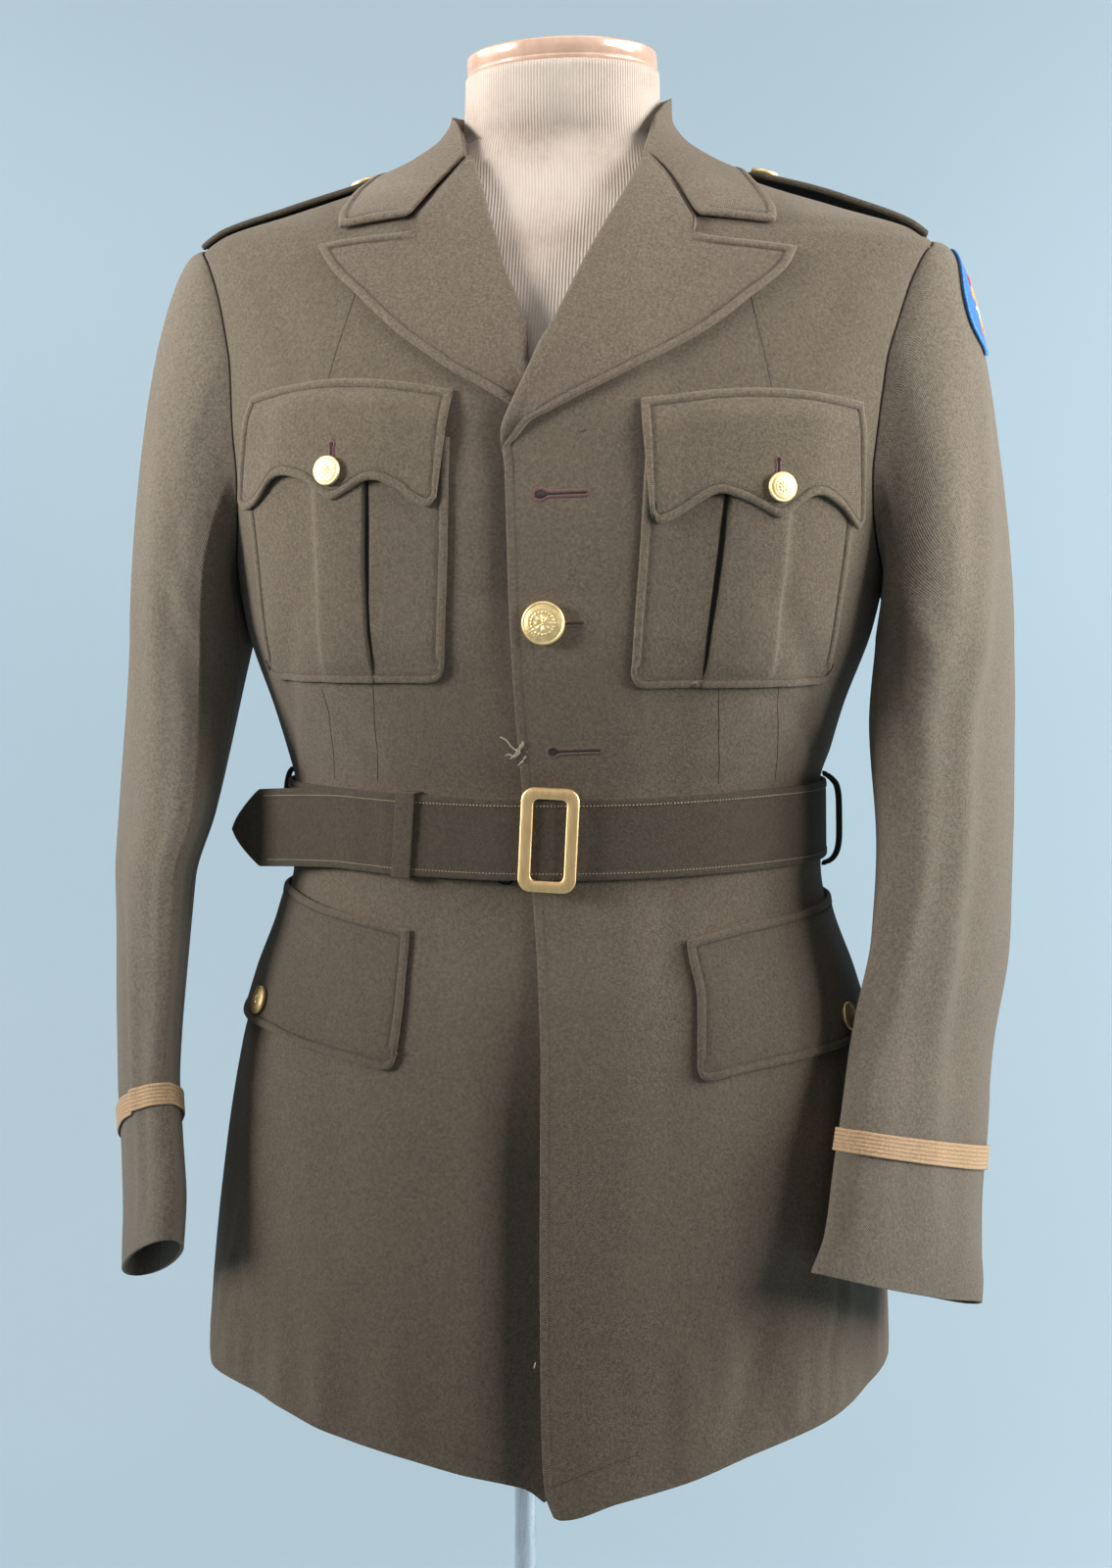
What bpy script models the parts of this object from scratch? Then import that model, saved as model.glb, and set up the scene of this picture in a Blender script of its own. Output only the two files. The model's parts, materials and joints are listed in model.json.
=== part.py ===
"""Officer's belted dress tunic on a limbless dress form with a pole stand.

The frame: metres, +Z up, the coat's front towards -Y and the wearer's left towards +X.
The origin is the centre of the stand's foot, on the floor. All the sizes below are
millimetres. Cloth pieces are open surfaces, given their wall by a Solidify modifier
that grows inwards, and what is sewn on lies on the coat's surface, moved outwards.

Two measures place a point on the coat. `turn` is the angle round the body in degrees,
0 at the centre front and 90 at the wearer's left side. `along` is the distance round
the cloth from the centre front, positive to the wearer's left.
"""
import math
from functools import lru_cache

import bmesh
import bpy
import numpy as np
from mathutils import Matrix, Vector

MM = 0.001
LEFT = 1
RIGHT = -1
SIDE_NAMES = {LEFT: "left", RIGHT: "right"}

# Cloth walls and the gaps between pieces.
COAT_WALL = 2.0
LAPEL_WALL = 2.4
COLLAR_WALL = 2.2
COLLAR_CREST = 5.4
COLLAR_GAP = 1.5
POCKET_WALL = 1.6
FLAP_WALL = 1.8
BELT_WALL = 2.4
SEAM_GAP = 0.4
SIDE_GAP = 0.9
LAY_GAP = 0.6
FRONT_LAP = 3.0
POCKET_GAP = 0.9

BODY_X = 22.0

# The coat's outer surface, as level sections from the hem to the neck.
BODY_SECTIONS = (
    # height, centre_x, half_width, front, back, power
    (780, -8, 202, 175, 154, 2.1),
    (841, -8, 199, 166, 150, 2.1),
    (900, -7, 196, 159, 145, 2.1),
    (960, -5, 191, 151, 139, 2.15),
    (1020, -4, 182, 142, 131, 2.2),
    (1060, -4, 171, 134, 122, 2.2),
    (1096, -4, 158, 124, 110, 2.2),
    (1122, -3, 152.5, 119, 101.5, 2.2),
    (1170, -3, 151.5, 119, 100, 2.2),
    (1192, -2, 157, 125, 101, 2.25),
    (1213, -2, 163, 131, 104, 2.3),
    (1260, -1, 179, 139, 112, 2.4),
    (1310, 0, 188, 139, 119, 2.4),
    (1360, 0, 195, 133, 123, 2.4),
    (1400, 1, 200, 122, 122, 2.35),
    (1440, 2, 206, 105, 114, 2.3),
    (1470, 2, 209, 88, 102, 2.25),
    (1479, 2, 200, 82, 97, 2.2),
    (1492, 2, 160, 73, 88, 2.1),
    (1507, 1, 114, 62, 76, 2.0),
    (1520, 0, 84, 56, 66, 2.0),
    (1532, 0, 66, 52, 58, 2.0),
    (1545, 0, 58, 50, 54, 2.0),
    (1600, 0, 54, 48, 50, 2.0),
)
# Soft vertical folds of the skirt: ridges where the depth is above zero.
SKIRT_FOLDS = (
    # turn, half_width, depth
    (-64, 7, 3.2),
    (-47, 6, -2.4),
    (-30, 7, 1.6),
    (38, 7, -1.8),
    (53, 6, 1.2),
    (69, 7, -2.4),
    (112, 9, 3.4),
    (148, 10, -3.0),
    (-118, 10, 3.0),
    (-152, 9, -2.8),
)
FOLD_TOP = 1010
FOLD_FULL = 850
# The hem dips towards the front corners.
HEM = (
    # turn, height
    (-180, 843),
    (-90, 842),
    (-60, 841),
    (-44, 837),
    (-30, 830),
    (-15, 822),
    (0, 810),
    (6, 797),
    (14, 805),
    (23, 811),
    (36, 821),
    (52, 830),
    (66, 836),
    (85, 842),
    (180, 843),
)
# Front edges, and above the break the roll lines of the lapels.
LEFT_EDGE = (
    # height, x
    (796, 15),
    (802, 10),
    (811, 6),
    (835, 4),
    (932, 2),
    (1030, 1),
    (1083, -2),
    (1115, -5),
    (1182, -11),
    (1260, -15),
    (1342, -18),
    (1357, -20),
    (1367, -17),
    (1393, -6),
    (1432, 12),
    (1446, 19),
    (1481, 35),
    (1513, 50),
    (1524, 56),
    (1534, 60),
)
RIGHT_EDGE = (
    (796, 4),
    (812, 14),
    (835, 16),
    (1030, 20),
    (1357, 20),
    (1399, -8),
    (1417, -12),
    (1433, -18),
    (1457, -29),
    (1482, -37),
    (1500, -42),
    (1515, -48),
    (1524, -55),
    (1534, -60),
)
# The armholes, one turn for each height and side of the hole.
ARMHOLE_BOTTOM = 1277
SHOULDER_TIP = 1475.5
ARMHOLE_FRONT = ((1277, 95), (1281, 88), (1290, 78), (1306, 69), (1327, 64), (1350, 62), (1402, 62),
                 (1427, 64), (1447, 67), (1463, 72), (1472, 80), (1475.5, 90))
ARMHOLE_BACK = ((1277, 95), (1281, 99), (1290, 104), (1306, 109), (1327, 113), (1350, 115), (1402, 114),
                (1427, 112), (1447, 109), (1463, 105), (1472, 99), (1475.5, 90))
SIDE_SEAM = 95
NECK_POINT = 1530

# Sleeve sections below the armhole, across the arm; the tilt lifts the front of a section.
SLEEVE_TOP = 1250
SLEEVE_SECTIONS = {
    LEFT: (
        # height, centre_x, centre_y, half_thin, half_wide, twist, tilt
        (1250, 219, -5, 34, 80, -17, 0),
        (1204, 218, -8, 33, 78, -22, 1),
        (1143, 220, -14, 30, 75, -23, 2),
        (1088, 218, -24, 27, 73, -27, 5),
        (1034, 210, -38, 25, 71, -31, 8),
        (993, 205, -60, 23, 70, -34, 12),
        (955, 200, -74, 21, 69, -36, 15),
        (920, 197, -84, 19, 68, -39, 18),
        (899, 192, -90, 18, 70, -41, 19),
    ),
    RIGHT: (
        (1250, -217, -3, 36, 80, -12, 0),
        (1190, -226, -6, 30.5, 78, -18, 1),
        (1150, -232, -9, 26.5, 77, -20, 3),
        (1111, -238, -14, 22.5, 76, -18, 6),
        (1054, -238, -26, 19.5, 74, -18, 12),
        (1002, -237, -38, 17, 73, -18, 18),
        (959, -233, -48, 16, 72, -19, 21),
        (921, -230, -57, 16, 71, -20, 22),
        (899, -230, -62, 15.5, 70, -20, 23),
    ),
}
CUFF = {LEFT: 899, RIGHT: 899}
SLEEVE_HEAD = {LEFT: 0.40, RIGHT: 0.33}
SLEEVE_SEAMS = (140, 224)
BRAID_RISE = {LEFT: 67, RIGHT: 74}
BRAID_WIDTH = 12.7
BRAID_WALL = 1.0

# Lapel edges from the break up to the tip, and the top edge out from the roll line.
LAPEL_EDGE = {
    LEFT: ((-15, 1354.5), (-4, 1366), (14, 1376), (35, 1387), (57, 1399), (85, 1416),
           (106, 1433), (127, 1452), (131, 1461)),
    RIGHT: ((-20, 1378), (-32, 1385), (-47, 1393), (-62, 1403), (-78, 1414), (-90, 1424),
            (-103, 1436), (-120, 1452), (-129, 1465)),
}
LAPEL_TOP = {
    LEFT: ((50, 1513), (57, 1505), (66, 1492), (74, 1479), (77, 1470), (88, 1467.5),
           (98, 1466), (115, 1463.5), (131, 1461)),
    RIGHT: ((-47, 1515), (-53, 1508), (-62, 1496), (-72, 1481), (-75, 1473), (-88, 1471.5),
            (-101, 1470), (-115, 1468), (-129, 1465)),
}
LAPEL_ROLL = {
    LEFT: ((-20, 1352), (-19, 1360), (-16, 1368), (-11, 1380), (-5, 1394), (2, 1411), (10, 1428),
           (18, 1446), (28, 1467), (38, 1487), (50, 1513)),
    RIGHT: ((-10, 1399), (-11, 1408), (-12.5, 1417), (-18.5, 1433), (-26, 1449), (-31.5, 1466),
            (-37, 1482), (-42.5, 1500), (-47, 1515)),
}

# The collar, from each gorge round the back of the neck. It stands a little higher on the left.
COLLAR_STATIONS = (
    # place, crest_x, crest_y, crest_z, edge_x, edge_y, edge_z, stand
    (0.00, 49, -50, 1515.5, 117, -78, 1475, 0),
    (0.09, 51.5, -44, 1523, 117.5, -70, 1480, 1),
    (0.22, 55.5, -31, 1536, 113, -54, 1494, 5),
    (0.36, 59.5, -14, 1547, 106, -32, 1506, 9),
    (0.50, 60, 6, 1553.5, 100, -4, 1513, 14),
    (0.64, 53, 29, 1556, 88, 26, 1515, 17),
    (0.76, 41, 45.5, 1557, 68, 52, 1513, 18),
    (0.88, 23, 56.5, 1557.5, 38, 69, 1511, 19),
    (1.00, 0, 61, 1557.5, 0, 76, 1510, 19),
)
COLLAR_SIDE_RISE = 4.5
COLLAR_TIP_SHIFT = {LEFT: 3.0, RIGHT: -2.5}
# The collar's front end: down the gorge seam beside the lapel, then out to the tip.
GORGE = {
    LEFT: ((50, 1516.5), (60.5, 1506.7), (69.5, 1493.7), (77, 1481.5), (80, 1478.5), (98, 1477), (120, 1475)),
    RIGHT: ((49, 1516), (55, 1509), (64.5, 1497), (74.5, 1482.5), (78, 1480), (95, 1478), (114.5, 1475)),
}
GORGE_REACH = 0.32
# Pockets and flaps: distances from the centre front, the same on both fronts.
POCKET_TOP = 1358
POCKET_BOTTOM = {LEFT: 1229, RIGHT: 1231}
POCKET_INNER_BOTTOM = 49
POCKET_INNER_TOP = {LEFT: 55.5, RIGHT: 47.5}
POCKET_OUTER_TOP = 179
POCKET_OUTER_BOTTOM = 169
PLEAT_SLIT = 93
PLEAT_CREASE = 134
PLEAT_RISE = 2.2
UPPER_FLAP = {
    # inner_top, inner_bottom, outer_top, outer_bottom, inner_height, outer_height, crown
    LEFT: (52, 57.5, 178, 182, 1377, 1379, 6),
    RIGHT: (47, 53.5, 171, 183, 1383, 1384, 7),
}
SCALLOP = {
    # across, drop
    LEFT: ((0.0, 59), (0.04, 65), (0.12, 62.5), (0.20, 58.5), (0.28, 57), (0.36, 58.5), (0.44, 64),
           (0.50, 67.5), (0.56, 64), (0.64, 58.5), (0.72, 57), (0.80, 58.5), (0.88, 63.5),
           (0.96, 68), (1.0, 62)),
    RIGHT: ((0.0, 57), (0.04, 62.5), (0.12, 60), (0.20, 56), (0.28, 55), (0.36, 57), (0.44, 61.5),
            (0.50, 64.5), (0.56, 60), (0.64, 53.5), (0.72, 52), (0.80, 53.5), (0.88, 58.5),
            (0.96, 62.5), (1.0, 57)),
}
LOWER_FLAP_ENDS = {LEFT: (82, 296), RIGHT: (69, 288)}
LOWER_FLAP_TOP = {
    # along, height
    LEFT: ((80, 1092), (111, 1098), (140, 1101), (190, 1104), (250, 1106), (300, 1106)),
    RIGHT: ((65, 1096), (95, 1101), (127, 1105), (176, 1111), (250, 1112), (300, 1112)),
}
LOWER_FLAP_DROP = 75
FLAP_CORNER = 9

# Buttons: where they sit and their sizes.
FRONT_BUTTON_RADIUS = 11.4
SMALL_BUTTON_RADIUS = 7.95
BUTTON_HEIGHT = 0.42
UPPER_BUTTONS = {LEFT: (124.5, 1332), RIGHT: (111.5, 1341)}
LOWER_BUTTONS = {LEFT: (194, 1043), RIGHT: (180, 1049)}
FRONT_BUTTON = (3, 1262)

# Shoulder loops, from the sleeve head towards the collar, in plan.
LOOP_OUTER = 204.5
LOOP_INNER = 103
LOOP_HALF_OUTER = 25
LOOP_HALF_INNER = 19
LOOP_WALL = 2.6
LOOP_LIFT = {LEFT: 4.0, RIGHT: 1.5}
LOOP_BUTTON_X = 113

# The belt lies round the waist from its buckle, and its tongue laps the wearer's right front.
BELT_HEIGHT = 1147.5
BELT_HALF = 21.4
BELT_RISE = 3
BELT_LIFTS = (
    # turn, outer_face
    (1, 5.9),
    (-6, 5.9),
    (-14, 3.8),
    (-21, 3.8),
    (-24, 5.2),
    (-29, 5.2),
    (-33, 3.7),
    (-60, 3.5),
    (-310, 3.5),
    (-328, 4.2),
    (-345, 6.2),
    (-351, 6.8),
    (-358, 8.8),
    (-366, 9.0),
    (-374, 7.2),
    (-381, 7.0),
    (-384, 8.4),
    (-389, 8.4),
    (-393, 7.0),
    (-402, 6.8),
)
TONGUE_LENGTH = 88
TONGUE_POINT = 23
TONGUE_DROP = 5.5
TONGUE_BEND = 420
KEEPER_TURN = -25
KEEPER_WIDTH = 10.5
KEEPER_WALL = 1.2
BUCKLE_X = 4
BUCKLE_SIZE = (31, 55.5)
BUCKLE_BARS = (6.6, 6.1)
BUCKLE_CORNER = 7
BUCKLE_THICKNESS = 2.4
BUCKLE_LEAN = 2.7
SIDE_LOOP_TURN = {LEFT: 88, RIGHT: -86}
SIDE_LOOP_STAND = {LEFT: 12, RIGHT: 7}
SIDE_LOOP_HALF = {LEFT: 27.5, RIGHT: 28.5}
SIDE_LOOP_LEVEL = 1150
SIDE_LOOP_WIDTH = 4.5
SIDE_LOOP_WALL = 2

PATCH_RADIUS = 31.5
PATCH_DROP = 44
PATCH_WALL = 1.0

# The dress form inside the coat, its neck cap and its stand.
FORM_CLEARANCE = (
    # height, distance in from the coat's outer surface
    (905, 62),
    (915, 48),
    (950, 36),
    (1000, 24),
    (1060, 14),
    (1146, 8),
    (1213, 9),
    (1310, 9),
    (1390, 6),
    (1440, 3.6),
    (1475, 2.9),
    (1532, 2.9),
)
FORM_NECK = (
    # height, half_width, front, back
    (1531, 57, 50, 54),
    (1541, 56, 54, 56),
    (1552, 55.5, 55.5, 57),
    (1569, 55, 55.5, 56.5),
)
NECK_TILT = 0.035
CAP_RADIUS = 54
CAP_HEIGHT = 12
POLE_RADIUS = 6.35
FOOT_RADIUS = 150
FOOT_HEIGHT = 9
SOCKET_RADIUS = 14
SOCKET_HEIGHT = 34
FLANGE_RADIUS = 32
FLANGE_HEIGHT = 6

MATERIALS = {
    # base colour, roughness, metallic
    "coat_wool": ((0.118, 0.097, 0.072), 0.92, 0.0),
    "belt_wool": ((0.075, 0.062, 0.045), 0.9, 0.0),
    "brass": ((0.86, 0.62, 0.24), 0.28, 1.0),
    "braid": ((0.46, 0.33, 0.20), 0.8, 0.0),
    "patch_felt": ((0.04, 0.20, 0.48), 0.9, 0.0),
    "form_knit": ((0.64, 0.56, 0.48), 0.95, 0.0),
    "cap_plastic": ((0.72, 0.58, 0.46), 0.25, 0.0),
    "stand_steel": ((0.62, 0.64, 0.66), 0.3, 1.0),
}


# ---------------------------------------------------------------- curves and tables

class Track:
    """Smooth, overshoot-free curves through the rows of a table, against its first column."""

    def __init__(self, rows):
        table = np.array(rows, dtype=float)
        if table[0, 0] > table[-1, 0]:
            table = table[::-1]
        self.keys = table[:, 0]
        self.values = table[:, 1:]
        steps = np.diff(self.keys)[:, None]
        rates = np.diff(self.values, axis=0) / steps
        slopes = np.zeros_like(self.values)
        before, after = rates[:-1], rates[1:]
        same_way = before * after > 0
        total = np.where(same_way, before + after, 1.0)
        slopes[1:-1] = np.where(same_way, 2 * before * after / total, 0.0)
        slopes[0], slopes[-1] = rates[0], rates[-1]
        self.slopes = slopes

    def __call__(self, key):
        key = min(max(key, self.keys[0]), self.keys[-1])
        i = int(min(max(np.searchsorted(self.keys, key) - 1, 0), len(self.keys) - 2))
        step = self.keys[i + 1] - self.keys[i]
        t = (key - self.keys[i]) / step
        start, end = self.values[i], self.values[i + 1]
        leave, arrive = self.slopes[i] * step, self.slopes[i + 1] * step
        return ((1 + 2 * t) * (1 - t) ** 2 * start + t * (1 - t) ** 2 * leave
                + t * t * (3 - 2 * t) * end + t * t * (t - 1) * arrive)


def smooth(low, high, value):
    """0 below low, 1 above high and a soft step between them; low may be the higher one."""
    t = min(max((value - low) / (high - low), 0.0), 1.0)
    return t * t * (3 - 2 * t)


def mix(start, end, t):
    return start + (end - start) * t


def spaced(start, end, count):
    return [mix(start, end, i / (count - 1)) for i in range(count)]


def path_point(points, t):
    """The point at share t of a polyline, by its length."""
    points = np.array(points, dtype=float)
    steps = np.linalg.norm(np.diff(points, axis=0), axis=1)
    lengths = np.concatenate([[0], np.cumsum(steps)])
    at = t * lengths[-1]
    return np.array([np.interp(at, lengths, points[:, k]) for k in range(points.shape[1])])


# ---------------------------------------------------------------- the coat's surface

SECTION = Track(BODY_SECTIONS)
HEM_LINE = Track(HEM)


def fold_out(turn, height):
    """How far the skirt's folds stand out of the plain surface."""
    share = smooth(FOLD_TOP, FOLD_FULL, height)
    if share == 0:
        return 0.0
    wrapped = (turn + 180) % 360 - 180
    return share * sum(depth * math.exp(-((wrapped - at) / width) ** 2) for at, width, depth in SKIRT_FOLDS)


def base_point(turn, height):
    centre, half_width, front, back, power = SECTION(height)
    sine, cosine = math.sin(math.radians(turn)), math.cos(math.radians(turn))
    depth = -front if cosine > 0 else back
    swell = 1 + fold_out(turn, height) / half_width
    return np.array([
        centre + swell * half_width * math.copysign(abs(sine) ** (2 / power), sine),
        swell * depth * abs(cosine) ** (2 / power),
        height,
    ])


def unit(vector):
    return vector / np.linalg.norm(vector)


def body_normal(turn, height):
    sideways = base_point(turn + 0.6, height) - base_point(turn - 0.6, height)
    upwards = base_point(turn, height + 1.0) - base_point(turn, height - 1.0)
    return unit(np.cross(sideways, upwards))


def body_point(turn, height, out=0.0):
    point = base_point(turn, height)
    return point if out == 0 else point + body_normal(turn, height) * out


@lru_cache(maxsize=None)
def ring_lengths(height):
    turns = np.arange(0, 181, 3.0)
    tables = {}
    for side in (LEFT, RIGHT):
        ring = np.array([base_point(side * turn, height) for turn in turns])
        steps = np.linalg.norm(np.diff(ring, axis=0), axis=1)
        tables[side] = np.concatenate([[0], np.cumsum(steps)])
    return turns, tables


def turn_at(along, height):
    """The turn at a distance round the cloth from the centre front."""
    turns, tables = ring_lengths(round(height))
    side = LEFT if along >= 0 else RIGHT
    return side * float(np.interp(abs(along), tables[side], turns))


def turn_of_x(x, height):
    """The turn where the front of the coat has this x."""
    centre, half_width, _, _, power = SECTION(height)
    share = min(abs(x - centre) / half_width, 1.0)
    return math.copysign(math.degrees(math.asin(share ** (power / 2))), x - centre)


def front_lift(side, turn, height):
    """The left front laps over the right one, and the right one falls back in the skirt."""
    x = base_point(turn, height)[0]
    if side == LEFT:
        return FRONT_LAP * smooth(74, 44, x)
    return -15 * smooth(-42, 6, x) * smooth(1110, 960, height)


def shell_value(point):
    centre, half_width, front, back, power = SECTION(point[2])
    depth = front if point[1] < 0 else back
    return (abs(point[0] - centre) / half_width) ** power + (abs(point[1]) / depth) ** power - 1


def onto_body(point, out=0.0):
    """The nearest place on the coat's surface, moved outwards."""
    point = np.array(point, dtype=float)
    gradient = np.zeros(3)
    for _ in range(6):
        value = shell_value(point)
        for k in range(3):
            probe = point.copy()
            probe[k] += 0.2
            gradient[k] = (shell_value(probe) - value) / 0.2
        point = point - gradient * value / gradient.dot(gradient)
    return point + unit(gradient) * out


# ---------------------------------------------------------------- making objects

COAT_PARTS = bpy.data.collections.new("dress_tunic_on_form")


def material(name):
    made = bpy.data.materials.get(name)
    if made is None:
        colour, roughness, metallic = MATERIALS[name]
        made = bpy.data.materials.new(name)
        made.use_nodes = True
        shader = made.node_tree.nodes["Principled BSDF"]
        shader.inputs["Base Color"].default_value = (*colour, 1)
        shader.inputs["Roughness"].default_value = roughness
        shader.inputs["Metallic"].default_value = metallic
        made.diffuse_color = (*colour, 1)
    return made


def add_object(name, mesh, finish):
    thing = bpy.data.objects.new(name, mesh)
    mesh.materials.append(material(finish))
    COAT_PARTS.objects.link(thing)
    return thing


def placed(point):
    """A point beside the body's own centre line, in the object's frame and in metres."""
    return Vector(((point[0] + BODY_X) * MM, point[1] * MM, point[2] * MM))


def unplaced(position):
    return np.array(position) / MM - np.array([BODY_X, 0, 0])


def mesh_from(name, build):
    form = bmesh.new()
    build(form)
    mesh = bpy.data.meshes.new(name)
    form.to_mesh(mesh)
    form.free()
    mesh.shade_smooth()
    return mesh


def off_body(point):
    """The way out from the body at a point near it."""
    return np.array([point[0], point[1] * 1.4, 120 * smooth(1440, 1500, point[2])])


def cloth(name, rows, wall, finish, outward=off_body, closed=False, filled=False):
    """A sheet through rows of points on its outer face, with its wall grown inwards.

    outward(point) gives the way that the outer face looks.
    """
    def build(form):
        grid = [[form.verts.new(placed(point)) for point in row] for row in rows]
        for low, high in zip(grid, grid[1:]):
            across = len(low) if closed else len(low) - 1
            for i in range(across):
                j = (i + 1) % len(low)
                form.faces.new([low[i], low[j], high[j], high[i]])
        if filled:
            form.faces.new(grid[0][::-1])
        form.normal_update()
        looks = sum(face.normal.dot(outward(unplaced(face.calc_center_median()))) for face in form.faces)
        if looks < 0:
            bmesh.ops.reverse_faces(form, faces=form.faces)

    thing = add_object(name, mesh_from(name, build), finish)
    solidify = thing.modifiers.new("Wall", "SOLIDIFY")
    solidify.thickness = wall * MM
    solidify.offset = -1
    return thing


def loft(name, rings, finish, flip=False):
    """A solid through closed rings, capped at both ends."""
    def build(form):
        grid = [[form.verts.new(placed(point)) for point in ring] for ring in rings]
        for low, high in zip(grid, grid[1:]):
            for i in range(len(low)):
                j = (i + 1) % len(low)
                form.faces.new([low[i], low[j], high[j], high[i]])
        form.faces.new(grid[0][::-1])
        form.faces.new(grid[-1])
        if flip:
            bmesh.ops.reverse_faces(form, faces=form.faces)

    return add_object(name, mesh_from(name, build), finish)


def turned(name, profile, steps, finish, matrix):
    """A turned piece: its profile runs from the top of the axis down the outside."""
    def build(form):
        points = [form.verts.new((radius * MM, 0, height * MM)) for radius, height in profile]
        for upper, lower in zip(points, points[1:]):
            form.edges.new((upper, lower))

    thing = add_object(name, mesh_from(name, build), finish)
    thing.matrix_world = matrix
    screw = thing.modifiers.new("Turn", "SCREW")
    screw.steps = steps
    screw.render_steps = steps
    screw.use_merge_vertices = True
    screw.merge_threshold = 0.00001
    return thing


def facing(point, normal):
    """A matrix that stands a turned piece on a point, its axis along the normal."""
    turned_to = Vector(normal).to_track_quat("Z", "Y").to_matrix().to_4x4()
    return Matrix.Translation(placed(point)) @ turned_to


# ---------------------------------------------------------------- body panels

BELOW_ARM = (1108, 1122, 1146, 1170, 1192, 1213, 1234, 1256)
SKIRT_ROWS = (0.0, 0.05, 0.2, 0.4, 0.6, 0.8)
ARMHOLE_STEPS = 10
ABOVE_TIP = (1482, 1491, 1501, 1511, 1521, NECK_POINT)
PANEL_COLUMNS = 10
SKIRT_TOP = 1096


def armhole_heights():
    middle = (ARMHOLE_BOTTOM + SHOULDER_TIP) / 2
    half = (SHOULDER_TIP - ARMHOLE_BOTTOM) / 2
    return [middle - half * math.cos(math.pi * i / ARMHOLE_STEPS) for i in range(ARMHOLE_STEPS + 1)]


def panel_levels():
    """Each row's share of the skirt, or its level height above the skirt."""
    rows = [("skirt", share) for share in SKIRT_ROWS]
    rows += [("level", height) for height in (SKIRT_TOP, *BELOW_ARM, *armhole_heights(), *ABOVE_TIP)]
    return rows


def outer_turn(height, hole):
    """Where a panel ends: at the side seam, the armhole or the shoulder seam."""
    if height <= ARMHOLE_BOTTOM:
        return SIDE_SEAM
    if height >= SHOULDER_TIP:
        return 90
    return float(hole(height)[0])


def row_height(kind, value, turn):
    return mix(float(HEM_LINE(turn)[0]), SKIRT_TOP, value) if kind == "skirt" else value


def gap_turn(height, gap=SEAM_GAP):
    """Half of a seam's gap, as a turn."""
    return math.degrees(gap / 2 / SECTION(height)[1]) + 0.02


def front_panel(side):
    edge = Track(LEFT_EDGE if side == LEFT else RIGHT_EDGE)
    hole = Track(ARMHOLE_FRONT)
    rows = []
    for kind, value in panel_levels():
        probe = row_height(kind, value, 0)
        inner_x = float(edge(probe)[0])
        if probe > 1362:
            inner_x += side * 0.8
        inner = turn_of_x(inner_x, probe)
        if kind == "skirt":
            inner = turn_of_x(float(edge(row_height(kind, value, inner))[0]), probe)
        outer = side * (outer_turn(probe, hole) - gap_turn(probe, SIDE_GAP))
        row = []
        for i in range(PANEL_COLUMNS):
            turn = mix(inner, outer, (i / (PANEL_COLUMNS - 1)) ** 1.12)
            height = row_height(kind, value, turn)
            row.append(body_point(turn, height, front_lift(side, turn, height)))
        rows.append(row)
    cloth(f"front_{SIDE_NAMES[side]}", rows, COAT_WALL, "coat_wool")


def back_panel(side):
    hole = Track(ARMHOLE_BACK)
    rows = []
    for kind, value in panel_levels():
        probe = row_height(kind, value, side * 120)
        inner = side * (180 - gap_turn(probe))
        outer = side * (outer_turn(probe, hole) + gap_turn(probe, SIDE_GAP))
        row = []
        for turn in spaced(outer, inner, PANEL_COLUMNS):
            row.append(body_point(turn, row_height(kind, value, turn)))
        rows.append(row)
    cloth(f"back_{SIDE_NAMES[side]}", rows, COAT_WALL, "coat_wool")


# ---------------------------------------------------------------- sleeves

SLEEVE_TRACKS = {side: Track(rows) for side, rows in SLEEVE_SECTIONS.items()}


def armhole_point(side, angle):
    """The armhole's loop: angle 0 at the shoulder tip, 90 at the front, 180 at the bottom."""
    cosine = math.cos(math.radians(angle))
    height = (ARMHOLE_BOTTOM + SHOULDER_TIP) / 2 + (SHOULDER_TIP - ARMHOLE_BOTTOM) / 2 * cosine
    in_front = angle % 360 <= 180
    turn = float(Track(ARMHOLE_FRONT if in_front else ARMHOLE_BACK)(height)[0])
    point = base_point(side * turn, height)
    point[0] += side * SEAM_GAP * 1.6
    return point


def section_point(side, angle, height, out=0.0):
    centre_x, centre_y, thin, wide, twist, tilt = SLEEVE_TRACKS[side](height)
    cosine, sine = math.cos(math.radians(angle)), math.sin(math.radians(angle))
    twist, tilt = math.radians(twist), math.radians(tilt)
    across = (thin + out) * math.copysign(abs(cosine) ** 0.9, cosine)
    forward = (wide + out) * math.copysign(abs(sine) ** 0.9, sine)
    return np.array([
        centre_x + side * (across * math.cos(twist) + forward * math.sin(twist)),
        centre_y + across * math.sin(twist) - forward * math.cos(twist) * math.cos(tilt),
        height + forward * math.sin(tilt),
    ])


def sleeve_base(side, angle, down):
    """A point of the sleeve; down is 0 at the armhole, 1 under the arm and 2 at the cuff."""
    if down >= 1:
        return section_point(side, angle, mix(SLEEVE_TOP, CUFF[side], down - 1))
    start = armhole_point(side, angle)
    end = section_point(side, angle, SLEEVE_TOP)
    reach = np.linalg.norm(end - start)
    topness = (1 + math.cos(math.radians(angle))) / 2
    lowness = (1 - topness) ** 3
    leave = reach * np.array([side * SLEEVE_HEAD[side], 0, 0.07 * topness - 0.8 * lowness])
    arrive = reach * np.array([0, 0, -1.0])
    t = down
    return ((1 + 2 * t) * (1 - t) ** 2 * start + t * (1 - t) ** 2 * leave
            + t * t * (3 - 2 * t) * end + t * t * (t - 1) * arrive)


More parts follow.
